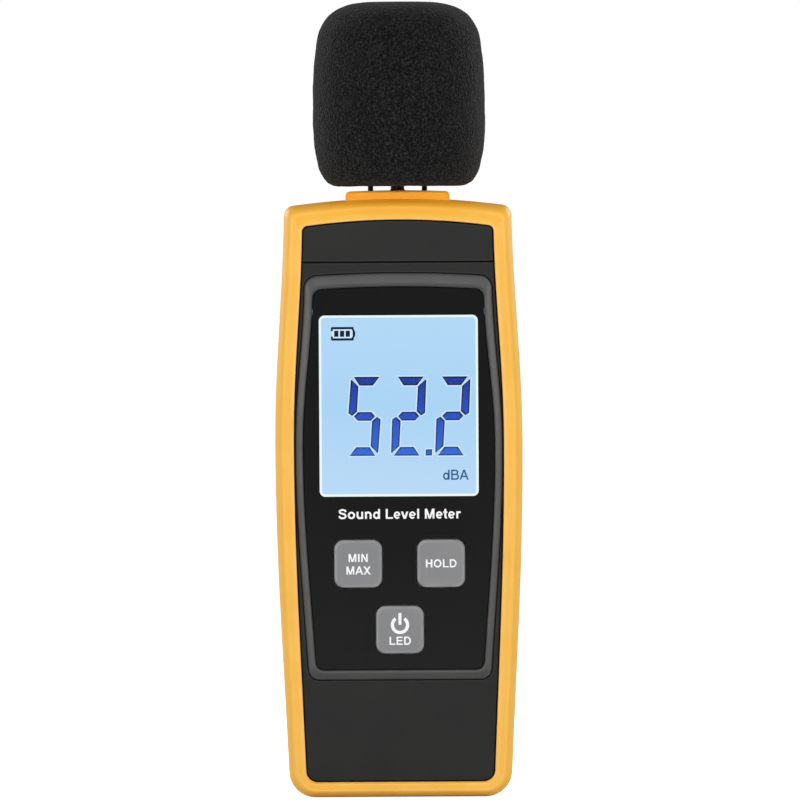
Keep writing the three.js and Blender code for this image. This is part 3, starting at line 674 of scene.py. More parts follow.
def printed_words(name, lines, front, proud=0.03):
    """Printed lettering: each line is (letters, middle x, foot z, size of the body)."""
    mesh = bmesh.new()
    for letters, x, z, size in lines:
        scale = size / 1000
        x -= sum(LETTERS[letter][0] for letter in letters) * scale / 2
        for letter in letters:
            advance, shapes = LETTERS[letter]
            for layer, edges in enumerate(shapes):
                depths = front + LAYER * layer, front + proud + LAYER * layer
                loops = [[[mesh.verts.new(Vector((x + px * scale, -y, z + pz * scale)) * MM)
                           for px, pz in edge] for y in depths] for edge in edges if edge]
                back, face = loops[0]
                band(mesh, back, face)
                if len(loops) == 1:
                    mesh.faces.new(back)
                    mesh.faces.new(face)
                else:
                    inner_back, inner_face = loops[1]
                    band(mesh, face, inner_face)
                    band(mesh, inner_face, inner_back)
                    band(mesh, inner_back, back)
            x += advance * scale
    return new_piece(name, mesh)


WHITE_INK = moulded_material("white ink", paint(255, 255, 255), paint(250, 250, 250),
                             (0.4, 0.5), 0.1, 0.002)
title = printed_words("panel_name", [("Sound Level Meter", 0, 66.6, 3.3)], PANEL_FRONT)
stand_in(title, WHITE_INK, "case", "white_plastic")

# --- Display ----------------------------------------------------------------------------------
# A liquid crystal cell lit from behind by two small lamps through a diffuser. It shows a battery
# sign, three large figures of seven segments and the unit of the reading. All of it is drawn
# glowing in the colours it shows: painted light standing in for the light on the display.

GLASS_FRONT = 13.9
FIGURE_HEIGHT, FIGURE_WIDTH, STROKE, SEGMENT_GAP = 18.9, 7.8, 2.1, 0.2
FIGURE_FOOT, FIGURE_SLANT = 81.65, math.tan(math.radians(3.4))
FIGURE_SPAN = (81.5, 100.4)  # heights between which the figures darken


def colour_stops(tree, stops):
    """A colour ramp through stops of (share, colour)."""
    ramp = node(tree, "ValToRGB")
    points = ramp.color_ramp.elements
    for i, (share, colour) in enumerate(stops):
        point = points[i] if i < 2 else points.new(share)
        point.position, point.color = share, (*colour, 1)
    return ramp


def painted_glow_material(name, stops, low=72, high=115):
    """A display surface that glows in the colour it shows, painted light, changing with height:
    stops are (share, colour).
    """
    material, tree, shader = plain_material(
        name, (0, 0, 0), 0.3, {"Emission Strength": 1.0, "Specular IOR Level": 0.1})
    ramp = colour_stops(tree, stops)
    wire(tree, (share_of_height(tree, low, high), ramp.inputs["Fac"]),
         (ramp.outputs["Color"], shader.inputs["Emission Color"]))
    return material


def inlay(name, outlines, back, front, material, slot="lcd", body="case"):
    """Flat shapes with a little thickness, all in one piece."""
    mesh = bmesh.new()
    for outline in outlines:
        near, far = ([mesh.verts.new(Vector((x, -y, z)) * MM) for x, z in outline]
                     for y in (back, front))
        band(mesh, near, far)
        mesh.faces.new(near)
        mesh.faces.new(far)
    piece = new_piece(name, mesh)
    stand_in(piece, material, body, slot)


BACKGROUND = painted_glow_material("lit display", [(0, paint(187, 220, 249)), (1, paint(180, 219, 249)),
                                          (0.5, paint(171, 214, 247))])
cell = skin("display_cell", [at_depth(rounded(0, GLASS_MIDDLE, GLASS_WIDTH - 2 * by,
                                              GLASS_HEIGHT - 2 * by, 0.4, 3), -y)
                             for by, y in ((0.1, 11.9), (0, 12), (0, 13.8), (0.1, GLASS_FRONT))])
stand_in(mould(cell), BACKGROUND, "case", "lcd", "lcd_glass")

# A glowing pale line round the edge of the window: painted light.
rim = skin("display_rim", [at_depth(window_outline(grow), -y) for grow, y in (
    (0.1, GLASS_FRONT), (0.1, GLASS_FRONT + 0.1), (-0.45, GLASS_FRONT + 0.1),
    (-0.5, GLASS_FRONT))], ring=True)
stand_in(rim, painted_glow_material("lit rim", [(0, paint(240, 251, 254)), (1, paint(234, 250, 253))]),
         "case", "lcd")


def segment_outlines(lit, grow=0.0):
    """The lit segments of one figure, lettered a to g from the top round to the middle bar."""
    w, h, t, g = FIGURE_WIDTH, FIGURE_HEIGHT, STROKE, SEGMENT_GAP
    half = h / 2
    top = [(g * 4, h), (w - g * 4, h), (w - t - g, h - t), (t + g, h - t)]
    upper = [(0.15, h - g * 4.4), (g * 1.6, h - g * 3.2), (t - g * 0.2, h - t - g),
             (t - g * 0.2, half + t * 0.45 + g), (t * 0.45, half + g * 0.6), (0, half + t * 0.35)]
    bar = [(t * 0.55 + g, half), (t + g, half + t / 2), (w - t - g, half + t / 2),
           (w - t * 0.55 - g, half), (w - t - g, half - t / 2), (t + g, half - t / 2)]

    def flip(shape):
        return [(w - x, z) for x, z in shape]

    def drop(shape):
        return [(x, h - z) for x, z in shape]

    shapes = {"a": top, "b": flip(upper), "c": flip(drop(upper)), "d": drop(top),
              "e": drop(upper), "f": upper, "g": bar}
    found = []
    for letter in lit:
        shape = shapes[letter]
        cx, cz = (sum(axis) / len(shape) for axis in zip(*shape))
        found.append([(x + grow * math.copysign(1, x - cx), z + grow * math.copysign(1, z - cz))
                      for x, z in shape])
    return found


def figures(grow=0.0):
    """5, 2 and 2, leaning a little, with the point before the last."""
    shapes = []
    for left, lit in ((-12.65, "afgcd"), (-2.1, "abged"), (8.45, "abged")):
        shapes += [[(left + x, z) for x, z in shape] for shape in segment_outlines(lit, grow)]
    low, high = -grow, 1.5 + grow
    shapes.append([(6.35 + x, z) for x, z in ((low, low), (high, low), (high, high), (low, high))])
    return [[(x + z * FIGURE_SLANT, FIGURE_FOOT + z) for x, z in shape] for shape in shapes]


# The figures, their edges, the battery sign and the unit all glow: painted light, with the figures
# darker toward the top.
FIGURE_BLUE = painted_glow_material("figure blue", [(0, paint(54, 108, 212)), (1, paint(28, 56, 150)),
                                           (0.5, paint(40, 80, 194))], *FIGURE_SPAN)
PALE_EDGE = painted_glow_material("pale edge", [(0, paint(212, 234, 252)), (1, paint(206, 234, 252))])
DEEP_EDGE = painted_glow_material("deep edge", [(0, paint(26, 72, 140)), (1, paint(8, 14, 66))],
                         *FIGURE_SPAN)
inlay("display_figures", figures(-0.32), GLASS_FRONT + 0.09, GLASS_FRONT + 0.12, FIGURE_BLUE)
inlay("display_figure_outlines", figures(), GLASS_FRONT + 0.04, GLASS_FRONT + 0.08, DEEP_EDGE)
inlay("display_figure_edges", figures(0.28), GLASS_FRONT, GLASS_FRONT + 0.03, PALE_EDGE)

NAVY = painted_glow_material("battery sign navy", [(0, paint(14, 20, 52)), (1, paint(10, 14, 44))])
left, right, low, high, line = -16.1, -10.7, 109.25, 112.5, 0.55
battery_case = [(left, high - 1), (left, high - 0.2), (left + 0.2, high), (right - 0.1, high),
                (right + 0.05, high - 0.2), (right + 0.05, high - 0.6), (right + 0.4, high - 1.15)]
battery_case += [(x, low + high - z) for x, z in battery_case[::-1]]
inside = [(left + 0.45, low + 1), (left + 0.45, low + line), (right - 0.5, low + line),
          (right - 0.2, low + 1.05)]
battery_case += inside + [(x, low + high - z) for x, z in inside[::-1]]
battery_sign = [battery_case] + [
    [(x, 110.15), (x + 1, 110.15), (x + 1, 111.6), (x, 111.6)] for x in (-15.33, -13.95, -12.57)]
inlay("display_battery_ground", [[(left + 0.2, low + 0.3), (right - 0.3, low + 0.3),
                                  (right - 0.3, high - 0.3), (left + 0.2, high - 0.3)]],
      GLASS_FRONT, GLASS_FRONT + 0.02, PALE_EDGE)
inlay("display_battery_sign", battery_sign, GLASS_FRONT + 0.03, GLASS_FRONT + 0.06, NAVY)

unit = printed_words("display_unit", [(("thin d", "thin B", "thin A"), 13.5, 75.85, 3.3)],
                     GLASS_FRONT + 0.03)
stand_in(unit, painted_glow_material("unit blue", [(0, paint(44, 92, 138)), (1, paint(44, 92, 138))]),
         "case", "lcd")

# --- Keys -------------------------------------------------------------------------------------
# Three grey silicone keys with softly rounded edges and a slightly hollow face, each with a
# flange behind the case and a foot that carries the carbon contact. The signs are printed.

KEY_FACE = 16.5
# The pale edge colour on the keys is a painted highlight round their rims.
KEY_RUBBER = moulded_material(
    "grey key rubber", paint(131, 132, 135), paint(138, 138, 139), (0.55, 0.48), 0.16, 0.008,
    rub_and_highlight_colour=paint(222, 221, 220), rub_and_highlight_amount=10, rub_and_highlight_reach=0.85,
    sockets={"Specular IOR Level": 0.4})
KEY_SECTION = [  # width, corner radius, depth
    (6.8, 3.39, 9.6), (6.8, 3.39, 11.9), (13.4, 2.2, 11.9), (13.4, 2.2, 12.7),
    (11.4, 2.2, 12.7), (11.4, 2.2, 15.85), (11.34, 2.2, 16.05), (11.16, 2.15, 16.24),
    (10.86, 2.05, 16.39), (10.45, 1.9, 16.48), (9.9, 1.7, 16.5), (8, 1.5, 16.47),
    (5, 1.2, 16.44), (2, 0.9, 16.43),
]
key_words = {
    "min_max": [("MIN", -9.9, 56.35, 2.72), ("MAX", -9.9, 53.35, 2.72)],
    "hold": [("HOLD", 9.9, 54.95, 2.7)],
    "power": [("LED", 0, 36.5, 2.72)],
}
for name, (x, z) in KEY_PLACES.items():
    key = skin("keytop_" + name, [at_depth(rounded(x, z, size, size, radius), -y)
                                  for size, radius, y in KEY_SECTION])
    stand_in(mould(key, 40), KEY_RUBBER, "key_" + name, "key", "key_" + name)
    words = printed_words("sign_" + name, key_words[name], KEY_FACE - 0.03, proud=0.05)
    stand_in(words, WHITE_INK, "key_" + name, "white_plastic")

power_ring = corner(0, 41.25, 2.2, 125, 415, 40) + corner(0, 41.25, 1.42, 415, 125, 40)
power_bar = [(-0.36, 41.3), (0.36, 41.3), (0.36, 44.1), (-0.36, 44.1)]
inlay("sign_power_ring", [power_ring, power_bar], KEY_FACE - 0.06, KEY_FACE + 0.015, WHITE_INK,
      "white_plastic", "key_power")

# --- Works behind the display -----------------------------------------------------------------
# The diffuser and its white holder, two lamps, the striped rubber connector, the keypad mat
# with carbon contacts, and the green circuit board with its parts. All sit inside the case.

WHITE_PLASTIC = moulded_material("white plastic", paint(238, 238, 232), paint(230, 230, 224),
                                 (0.5, 0.4), 0.3, 0.006)
BLACK_RUBBER = moulded_material("black rubber", paint(34, 34, 34), paint(40, 39, 38),
                                (0.8, 0.7), 0.3, 0.02)
CARBON = moulded_material("carbon rubber", paint(22, 22, 23), paint(28, 28, 29),
                          (0.9, 0.8), 0.2, 0.01)
SILICONE = moulded_material("pale silicone", paint(184, 184, 180), paint(176, 176, 172),
                            (0.6, 0.5), 0.4, 0.01)
LAMP = moulded_material("lamp resin", paint(250, 244, 205), paint(244, 236, 190),
                        (0.3, 0.2), 0.5, 0.004)
CHIP_EPOXY = moulded_material("black epoxy", paint(22, 22, 24), paint(27, 27, 29),
                              (0.45, 0.35), 0.3, 0.01)


def circuit_material():
    """Green lacquer over copper tracks: the tracks stand a hair proud and show lighter."""
    material, tree, shader = plain_material("green circuit board", paint(26, 92, 52), 0.35)
    tracks = node(tree, "TexBrick", Scale=320, Color1=(*paint(24, 88, 48), 1),
                  Color2=(*paint(28, 98, 56), 1), Mortar=(*paint(58, 134, 78), 1))
    bump = node(tree, "Bump", Distance=0.03 * MM)
    wire(tree, (own_space(tree), tracks.inputs["Vector"]),
         (tracks.outputs["Color"], shader.inputs["Base Color"]),
         (tracks.outputs["Fac"], bump.inputs["Height"]),
         (bump.outputs["Normal"], shader.inputs["Normal"]))
    return material


def dress(material, *nodes, round_edges=0.12):
    """Gives CAD nodes their finish and takes the hard edge off them."""
    for label in nodes:
        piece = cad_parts[label]
        for place in piece.material_slots:
            place.material = material
        round_over(piece, round_edges, 40)


STEEL = moulded_material("plated steel", paint(196, 198, 201), paint(184, 186, 190),
                         (0.28, 0.42), 0.12, 0.004, sockets={"Metallic": 1.0})
dress(WHITE_PLASTIC, "lcd_frame", "backlight_panel")
dress(LAMP, "backlight_led_left", "backlight_led_right")
dress(BLACK_RUBBER, "zebra_strip")
dress(SILICONE, "keypad_mat", round_edges=0.1)
dress(CARBON, *("key_pill_" + name for name in KEY_PLACES), round_edges=0.08)
dress(circuit_material(), "main_board", round_edges=0.08)
dress(CHIP_EPOXY, "controller_chip", "preamp_chip")
dress(STEEL, "capacitor_left", "capacitor_right", "crystal",
      *("board_screw_%d" % i for i in (1, 2, 3, 4)), round_edges=0.1)

# --- Battery compartment ----------------------------------------------------------------------
# Three AAA cells in their bay, each in a printed shrink sleeve over a steel can, held between
# cone springs and sprung contact plates. Red and black wires run from the bay to the board.

CELL_LENGTH, CELL_DEPTH = 43.5, 7.9
SPRING_ROOM = 6  # from a contact plate to the flat end of its cell
CAN_RADIUS = 4.65  # the steel that shows at each end, within the sleeve


def turned(name, profile, sides=64, ring=False):
    """A surface turned round the Z axis from (radius, height) points."""
    mesh = bmesh.new()
    rows = []
    for radius, z in profile:
        turns = [i * math.tau / sides for i in range(sides)] if radius else [0]
        rows.append([mesh.verts.new(Vector((radius * math.cos(t), radius * math.sin(t), z)) * MM)
                     for t in turns])
    for near, far in zip(rows, rows[1:] + rows[:1] if ring else rows[1:]):
        for i in range(sides):
            j = (i + 1) % sides
            corners = [row[k % len(row)] for row, k in ((near, i), (near, j), (far, j), (far, i))]
            mesh.faces.new(list(dict.fromkeys(corners)))
    return new_piece(name, mesh)


def sleeve_material():
    """A printed shrink sleeve: dark blue-grey with a copper-coloured band at the nub end."""
    material, tree, shader = plain_material(
        "cell sleeve", paint(44, 56, 70), 0.25, {"Coat Weight": 0.4, "Coat Roughness": 0.08})
    print_colours = colour_stops(tree, [(0, paint(44, 56, 70)), (0.73, paint(214, 216, 218)),
                                        (0.75, paint(186, 112, 62))])
    print_colours.color_ramp.interpolation = "CONSTANT"
    wire(tree, (share_of_height(tree, 0, CELL_LENGTH), print_colours.inputs["Fac"]),
         (print_colours.outputs["Color"], shader.inputs["Base Color"]))
    return material


SLEEVE = sleeve_material()
CELL_PROFILE = [
    (0, 0.15), (4.2, 0.15), (4.3, 0), (4.55, 0), (4.7, 0.12), (5.1, 0.12), (5.25, 0.35),
    (5.25, 43), (5.1, 43.35), (4.75, 43.42), (4.6, 43.3), (4.2, 43.5), (2.3, 43.5), (2, 43.55),
    (1.9, 43.7), (1.9, 44.3), (1.75, 44.5), (0, 44.5),
]


def spring_path(x, foot, way):
    """A cone spring's wire: one flat turn on the plate, then turns that narrow to the cell."""
    path = []
    for i in range(101):
        t = i / 100
        radius, turn = 3.9 - 2.1 * t, t * 3.25 * math.tau
        path.append((x + radius * math.cos(turn), CELL_DEPTH + radius * math.sin(turn),
                     foot + way * (0.6 + (SPRING_ROOM - 1.2) * t)))
    return path


def drawn_wire(name, path, radius, flowing=False):
    """Round wire along a path, as a closed mesh; a flowing one bends smoothly."""
    line = bpy.data.curves.new(name, "CURVE")
    line.dimensions, line.bevel_depth, line.bevel_resolution = "3D", radius * MM, 3
    line.use_fill_caps = True
    if flowing:
        spline = line.splines.new("BEZIER")
        spline.bezier_points.add(len(path) - 1)
        for knot, point in zip(spline.bezier_points, path):
            knot.co = Vector(point) * MM
            knot.handle_left_type = knot.handle_right_type = "AUTO"
    else:
        spline = line.splines.new("POLY")
        spline.points.add(len(path) - 1)
        for knot, point in zip(spline.points, path):
            knot.co = (*(Vector(point) * MM), 1)
    holder = bpy.data.objects.new(name, line)
    scene.collection.objects.link(holder)
    drawn = shaped_mesh(holder)
    bpy.data.objects.remove(holder)
    mesh = bmesh.new()
    mesh.from_mesh(drawn)
    piece = mould(new_piece(name, mesh), 60)
    piece.data.materials.clear()
    return piece


for name, x, way in (("left", -11, 1), ("middle", 0, -1), ("right", 11, 1)):
    foot = BAY_BOTTOM + 0.45 if way > 0 else BAY_TOP - 0.45
    cell = turned("cell_" + name, CELL_PROFILE)
    for face in mould(cell, 40).data.polygons:
        face.material_index = int(Vector(face.center).xy.length < CAN_RADIUS * MM)
    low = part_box("battery_" + name)[0].z if way > 0 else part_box("battery_" + name)[1].z
    cell.matrix_world = (Matrix.Translation((x * MM, CELL_DEPTH * MM, low))
                         @ Matrix.Rotation(0 if way > 0 else math.pi, 4, "X"))
    stand_in(cell, SLEEVE, "case", "cell_sleeve", "battery_" + name)
    cell.data.materials.append(STEEL)
    spring = drawn_wire("spring_" + name, spring_path(x, foot, way), 0.4)
    stand_in(spring, STEEL, "case", "steel", "battery_spring_" + name)
dress(STEEL, "contact_minus", "contact_plus", "contact_bridge_top", "contact_bridge_bottom",
      round_edges=0.1)

RED_WIRE = moulded_material("red insulation", paint(170, 28, 26), paint(180, 36, 32),
                            (0.45, 0.35), 0.4, 0.004)
BLACK_WIRE = moulded_material("black insulation", paint(24, 24, 24), paint(30, 30, 30),
                              (0.45, 0.35), 0.4, 0.004)
dress(RED_WIRE, "battery_wire_plus", round_edges=0.05)
dress(BLACK_WIRE, "battery_wire_minus", round_edges=0.05)

# --- Battery door -----------------------------------------------------------------------------
# A flat door moulded in the case plastic, with two hook tabs at its lower edge, grip ribs for
# a thumb, and a sprung tongue at the top that is pressed in to let it go.

DOOR_INNER = 13.3
LATCH_ROOT, LATCH_TOP = 63, 71.1
door = skin("door_plate", [at_depth(rounded(0, DOOR_MIDDLE, 2 * DOOR_HALF - 2 * by,
                                            DOOR_HEIGHT - 2 * by, 2.5 - by), y)
                           for by, y in ((0.15, DOOR_INNER), (0, DOOR_INNER + 0.15),
                                         (0, FACE - 0.3), (0.09, FACE - 0.09), (0.3, FACE))])
carve(door, block(-LATCH_HALF - FIT, LATCH_HALF + FIT, 10, FACE + 1, LATCH_ROOT - FIT,
                  DOOR_TOP + 1))
for x in HOOKS:
    carve(door, block(x - HOOK_HALF, x + HOOK_HALF, 11.7, DOOR_INNER + 0.1, DOOR_BOTTOM + 0.5,
                      DOOR_BOTTOM + 2),
          block(x - HOOK_HALF, x + HOOK_HALF, 11.6, STEP, DOOR_BOTTOM - 1.8, DOOR_BOTTOM + 2),
          how="UNION")
for i in range(5):
    rib = [at_depth(rounded(0, 20.45 + i * 2.4, 18 - 2 * by, 0.9 - 2 * by, 0.44 - by, 5), y)
           for by, y in ((0, FACE - 0.1), (0, FACE + 0.15), (0.12, FACE + 0.3),
                         (0.28, FACE + 0.35))]
    carve(door, skin("rib", rib), how="UNION")
stand_in(mould(door, 30), CASE_PLASTIC, "battery_door", "shell", "battery_door")

latch = block(-LATCH_HALF, LATCH_HALF, 13.6, FACE, LATCH_ROOT, LATCH_TOP)
latch.name = "latch_tongue"
carve(latch, block(-LATCH_HALF, LATCH_HALF, 12.4, 13.7, LATCH_TOP - 1.1, LATCH_TOP),
      block(-4, 4, FACE - 0.1, FACE + 0.6, LATCH_TOP - 2.8, LATCH_TOP - 1.2), how="UNION")
stand_in(mould(latch, 30, round_edges=0.18), CASE_PLASTIC, "door_latch", "shell", "door_latch")

# --- Tripod insert ----------------------------------------------------------------------------
# A turned brass bush moulded into the back, with a quarter-inch camera thread.

BRASS = moulded_material("turned brass", paint(212, 168, 84), paint(200, 154, 70),
                         (0.28, 0.4), 0.15, 0.004, sockets={"Metallic": 1.0})
bush_profile = [(4.7, 7.6), (4.7, 14.9), (4.5, 15.1), (3.35, 15.1)]
THREAD_STEPS, THREAD_RADIUS, THREAD_PITCH = 44, 3.05, 1.27
bush_profile += [(THREAD_RADIUS, 14.85 - i * 7.25 / THREAD_STEPS)
                 for i in range(THREAD_STEPS + 1)]
bush = turned("tripod_bush", bush_profile, ring=True)
for vertex in bush.data.vertices:
    spread = vertex.co.xy.length / MM
    if abs(spread - THREAD_RADIUS) < 0.01:
        turn = math.atan2(vertex.co.y, vertex.co.x) / math.tau
        tooth = abs((vertex.co.z / MM / THREAD_PITCH - turn) % 1 - 0.5) * 2
        vertex.co.xy *= (2.75 + 0.42 * tooth) / spread
bush.matrix_world = Matrix.Translation((0, 0, TRIPOD_HEIGHT * MM)) @ Matrix.Rotation(
    -math.pi / 2, 4, "X")
stand_in(mould(bush, 50), BRASS, "case", "brass", "tripod_nut")

# --- Case screws ------------------------------------------------------------------------------
# Four cross-head screws hold the halves together, sunk in wells in the back.

SCREW_SEAT = FACE - 3.15
for i, (x, z) in enumerate(SCREW_WELLS):
    screw = turned("screw_%d" % (i + 1), [
        (0, SCREW_SEAT - 20.5), (0.5, SCREW_SEAT - 20.3), (1.2, SCREW_SEAT - 18.5),
        (1.2, SCREW_SEAT), (2.5, SCREW_SEAT), (2.5, SCREW_SEAT + 0.5),
        (2.35, SCREW_SEAT + 1), (1.9, SCREW_SEAT + 1.4), (1.2, SCREW_SEAT + 1.65),
        (0, SCREW_SEAT + 1.75)], 40)
    # Turned on Z, so its length becomes depth, and its own up becomes the case's down.
    recess = [block(-0.32, 0.32, -1.4, 1.4, SCREW_SEAT + 0.7, SCREW_SEAT + 3),
              block(-1.4, 1.4, -0.32, 0.32, SCREW_SEAT + 0.7, SCREW_SEAT + 3)]
    carve(screw, *recess)
    screw.data.transform(Matrix.Translation((x * MM, 0, z * MM))
                         @ Matrix.Rotation(-math.pi / 2, 4, "X")
                         @ Matrix.Rotation(math.radians(20 + 37 * i), 4, "Z"))
    stand_in(mould(screw, 35), STEEL, "case", "steel", "case_screw_%d" % (i + 1))

# --- Microphone -------------------------------------------------------------------------------
# A black moulded cage, gripped by its foot between the halves of the case. Four slim ribs
# carry the ring at the top, where a rubber grommet holds the capsule with its face up.

CAGE_OUTER, CAGE_INNER, CAGE_FOOT, CAGE_TOP = 7.1, 6, 136.4, 172.2
SILL, EAVES, RIB, CAGE_TURN = 144.8, 162, 1.5, math.radians(-7)
CAGE_PLASTIC = moulded_material(
    "black cage plastic", paint(26, 26, 26), paint(31, 31, 30), (0.5, 0.42), 0.25, 0.01,
    rub_and_highlight_colour=paint(60, 60, 58), rub_and_highlight_amount=3)
cage = turned("microphone_cage", [
    (8.45, CAGE_FOOT), (8.6, CAGE_FOOT + 0.15), (8.6, CAGE_FOOT + 1.45), (8.45, CAGE_FOOT + 1.6),
    (CAGE_OUTER, CAGE_FOOT + 1.6), (CAGE_OUTER, CAGE_TOP - 0.8), (6.87, CAGE_TOP - 0.23),
    (6.3, CAGE_TOP), (5.75, CAGE_TOP), (5.6, CAGE_TOP - 0.15), (5.6, CAGE_TOP - 0.85),
    (CAGE_INNER, CAGE_TOP - 1.2), (CAGE_INNER, CAGE_FOOT + 1.6), (3.2, CAGE_FOOT + 1.6),
    (3.2, CAGE_FOOT)], 96, ring=True)
for i in range(4):
    face = rounded(RIB / 2 + 5, (SILL + EAVES) / 2, 10, EAVES - SILL, 0.9, 5)
    opening = plug(face, RIB / 2, 12)
    opening.data.transform(Matrix.Rotation(CAGE_TURN + i * math.pi / 2, 4, "Z"))
    carve(cage, opening)
stand_in(mould(cage, 30, round_edges=0.1), CAGE_PLASTIC, "case", "cage", "mic_cage")

CAPSULE_BOTTOM, CAPSULE_TOP = 163.6, 170.2
capsule = turned("microphone_capsule", [
    (0, CAPSULE_BOTTOM), (4.7, CAPSULE_BOTTOM), (4.85, CAPSULE_BOTTOM + 0.15),
    (4.85, CAPSULE_TOP - 0.3), (4.7, CAPSULE_TOP - 0.05), (4.4, CAPSULE_TOP),
    (4.05, CAPSULE_TOP - 0.08), (3.95, CAPSULE_TOP - 0.35), (0, CAPSULE_TOP - 0.35)], 72)
stand_in(mould(capsule, 40), STEEL, "case", "steel", "mic_capsule")
FELT = moulded_material("black felt", paint(18, 18, 18), paint(30, 30, 30), (0.95, 0.9),
                        0.12, 0.06, sockets={"Sheen Weight": 0.4})
felt = turned("capsule_felt", [(0, CAPSULE_TOP - 0.33), (3.85, CAPSULE_TOP - 0.33),
                               (3.85, CAPSULE_TOP - 0.2), (3.7, CAPSULE_TOP - 0.12),
                               (0, CAPSULE_TOP - 0.08)], 72)
stand_in(mould(felt, 50), FELT, "case", "foam")
grommet = turned("rubber_grommet", [
    (4.9, 163.1), (5, 163), (5.85, 163), (5.95, 163.1), (5.95, 170.4), (5.8, 170.6),
    (5.05, 170.6), (4.9, 170.5)], 72, ring=True)
stand_in(mould(grommet, 40), BLACK_RUBBER, "case", "black_rubber", "mic_grommet")
for name, side, insulation in (("signal", -1, RED_WIRE), ("ground", 1, BLACK_WIRE)):
    x = 0.9 * side
    lead = drawn_wire("lead_" + name, [
        (x, 0, CAPSULE_BOTTOM - 0.2), (x, 0, 154), (x, 0, 143), (x, 0, 134), (x * 1.4, -2, 128),
        (x * 2, -4.6, 123.4), (x * 2.4, -5.4, 119)], 0.5, flowing=True)
    stand_in(lead, insulation, "case", "wire_red" if side < 0 else "wire_black", "mic_wire_" + name)

# --- Windscreen -------------------------------------------------------------------------------
# A ball of open-cell foam, ground to shape and bored to push over the cage. Its skin is a mass
# of cut cells about half a millimetre across.

FOAM_BOTTOM, FOAM_BORE, FOAM_BORE_TOP, FOAM_SIDES = 146.1, 7.45, 173, 360
FOAM_CENTRE = Vector((0, 0, 166))
FOAM_LEAN = 0.45  # the ball is ground a little off its bore
foam_outside = [
    (12, 146.2), (14, 146.1), (15.5, 146.2), (16.6, 146.65), (17.7, 147.5), (19.1, 149.9),
    (19.7, 152.3), (20.2, 154.7), (20.45, 157), (20.62, 160.5), (20.65, 165), (20.6, 169),
    (20.5, 171.8), (20.25, 175.8), (19.9, 178.7), (19.65, 181), (18.95, 183.7), (17.15, 186.6),
    (15.35, 188.1), (13.5, 189.05), (10.8, 189.85), (7.3, 190.25), (3, 190.3), (0.2, 190.3),
]
foam_profile = [(0, FOAM_BORE_TOP), (6.75, FOAM_BORE_TOP), (FOAM_BORE, FOAM_BORE_TOP - 0.7)]
foam_profile += [(FOAM_BORE, 170 - 2 * i) for i in range(12)]
foam_profile += [(FOAM_BORE + 0.1, FOAM_BOTTOM + 0.35), (FOAM_BORE + 0.5, FOAM_BOTTOM + 0.25),
                 (9.5, FOAM_BOTTOM + 0.2)]
foam_profile += smoothed(foam_outside, 8) + [(0, 190.3)]
foam = turned("foam_windscreen", foam_profile, FOAM_SIDES)
for vertex in foam.data.vertices:
    spot = vertex.co / MM
    if spot.xy.length > FOAM_BORE + 1:
        lump = noise.noise(spot * 0.22) * 0.1 + noise.noise(spot * 0.9) * 0.05
        cells = noise.noise(spot * 2.4) * 0.05
        vertex.co.x += FOAM_LEAN * MM
        vertex.co += (spot - FOAM_CENTRE).normalized() * (lump + cells) * MM


def foam_material():
    """Black foam: cell mouths darkened as painted shade in the pores, paler cell walls, and noise
    specks, paler and darker, as painted glints and shade.
    """
    material, tree, shader = plain_material(
        "black foam", paint(26, 25, 25), 0.9, {"Sheen Weight": 0.06, "Sheen Roughness": 0.6,
                                               "Specular IOR Level": 0.1})
    # Colour darkest in the middle of each cell: painted shade in the pores.
    cells = node(tree, "TexVoronoi", Scale=1700)
    glint_noise = node(tree, "TexNoise", Scale=1900, Detail=4)
    shade = colour_stops(tree, [(0, paint(2, 2, 2)), (0.75, paint(29, 29, 29))])
    speck = node(tree, "MixRGB", Fac=1)
    speck.blend_type = "MULTIPLY"
    # Noise scales the colour from a tenth up to over twice: painted glints and shade on the cell
    # walls.
    glint = node(tree, "MapRange", From_Min=0.42, From_Max=0.64, To_Min=0.1, To_Max=2.3)
    bump = node(tree, "Bump", Distance=0.3 * MM, Strength=1)
    place = own_space(tree)
    wire(tree,
         (place, cells.inputs["Vector"]),
         (place, glint_noise.inputs["Vector"]),
         (cells.outputs["Distance"], shade.inputs["Fac"]),
         (shade.outputs["Color"], speck.inputs["Color1"]),
         (glint_noise.outputs["Fac"], glint.inputs["Value"]),
         (glint.outputs["Result"], speck.inputs["Color2"]),
         (speck.outputs["Color"], shader.inputs["Base Color"]),
         (cells.outputs["Distance"], bump.inputs["Height"]),
         (bump.outputs["Normal"], shader.inputs["Normal"]))
    return material


for face in foam.data.polygons:
    face.use_smooth = True
stand_in(foam, foam_material(), "windscreen", "foam", "windscreen")

# --- Floor, light and camera ------------------------------------------------------------------
# A plain white floor and surround, soft lights on both sides, above and behind, and a long
# lens square on to the front.

floor_mesh = bmesh.new()
bmesh.ops.create_grid(floor_mesh, x_segments=1, y_segments=1, size=15)
floor = new_piece("floor", floor_mesh)
floor.location.z = -0.0002
pale, tree, shader = plain_material("white floor", (0.8, 0.8, 0.8), 0.9,
                                    {"Emission Color": (1, 1, 1, 1),
                                     "Specular IOR Level": 0.0})
wire(tree, (node(tree, "LightPath").outputs["Is Camera Ray"], shader.inputs["Emission Strength"]))
floor.data.materials.append(pale)

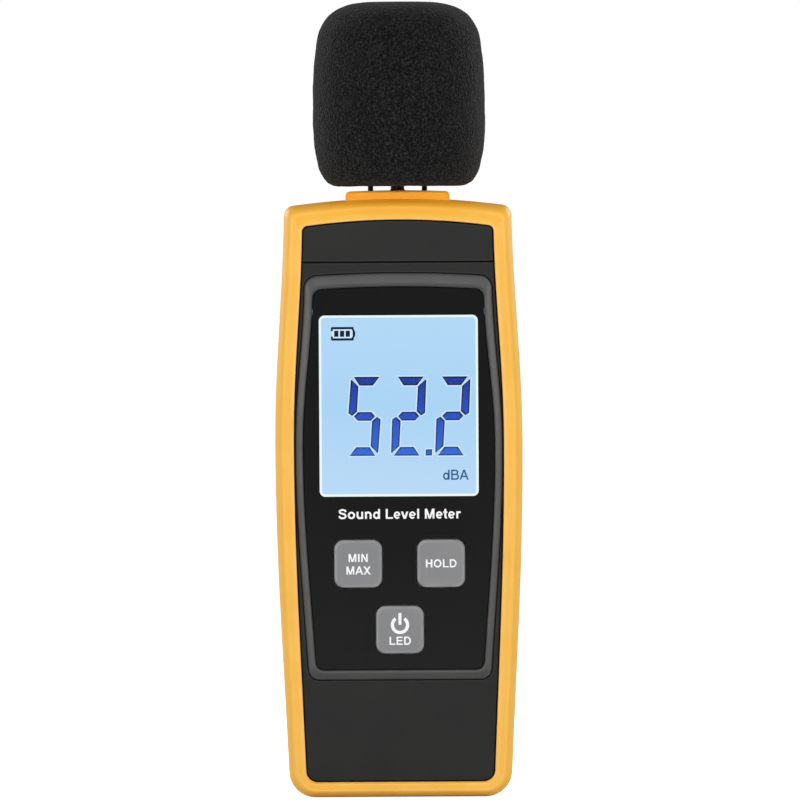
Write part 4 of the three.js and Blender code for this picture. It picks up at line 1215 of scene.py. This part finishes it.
world = bpy.data.worlds.new("surround")
scene.world = world
world.use_nodes = True
tree = world.node_tree
shown, lighting = tree.nodes["Background"], node(tree, "Background", Strength=0.3)
for background in (shown, lighting):
    background.inputs["Color"].default_value = (1, 1, 1, 1)
choice = node(tree, "MixShader")
wire(tree, (node(tree, "LightPath").outputs["Is Camera Ray"], choice.inputs[0]),
     (lighting.outputs[0], choice.inputs[1]), (shown.outputs[0], choice.inputs[2]),
     (choice.outputs[0], tree.nodes["World Output"].inputs["Surface"]))


LIGHT_AIM = Vector((0, 0, 0.1))


def softbox(name, place, size, watts):
    """A soft light at a place in metres, turned to the middle of the meter."""
    light = bpy.data.lights.new(name, "AREA")
    light.shape, light.size, light.size_y, light.energy = "RECTANGLE", size[0], size[1], watts
    lamp = bpy.data.objects.new(name, light)
    scene.collection.objects.link(lamp)
    lamp.location = place
    lamp.rotation_euler = (LIGHT_AIM - Vector(place)).to_track_quat("-Z", "Y").to_euler()


softbox("left softbox", (-0.95, -0.82, 0.2), (0.6, 0.9), 6.6)
softbox("right softbox", (0.95, -0.82, 0.2), (0.6, 0.9), 6.6)
softbox("front softbox", (0, -1.2, 0.7), (0.9, 0.35), 4)
softbox("rear left softbox", (-0.8, 0.8, 0.5), (0.6, 0.6), 4.5)
softbox("rear right softbox", (0.8, 0.8, 0.5), (0.6, 0.6), 4.5)

DISTANCE, FRAME_WIDTH = 4.0, 191.3  # in metres, and what the frame takes in at that distance
CAMERA_HEIGHT, CAMERA_ASIDE, AIM_DEPTH, LOWERED_AIM, ROLL = 145, 0.6, 12, 50.06, 0.33
lens = bpy.data.cameras.new("camera")
lens.sensor_width = 36
lens.lens = 36 * DISTANCE / (FRAME_WIDTH * MM)
lens.clip_start, lens.clip_end = 0.05, 50
camera = bpy.data.objects.new("camera", lens)
scene.collection.objects.link(camera)
camera.location = (CAMERA_ASIDE * MM, -DISTANCE - AIM_DEPTH * MM, CAMERA_HEIGHT * MM)
camera.rotation_euler = (math.atan2(DISTANCE, LOWERED_AIM * MM), math.radians(ROLL), 0)
scene.camera = camera
scene.view_settings.view_transform = "Standard"
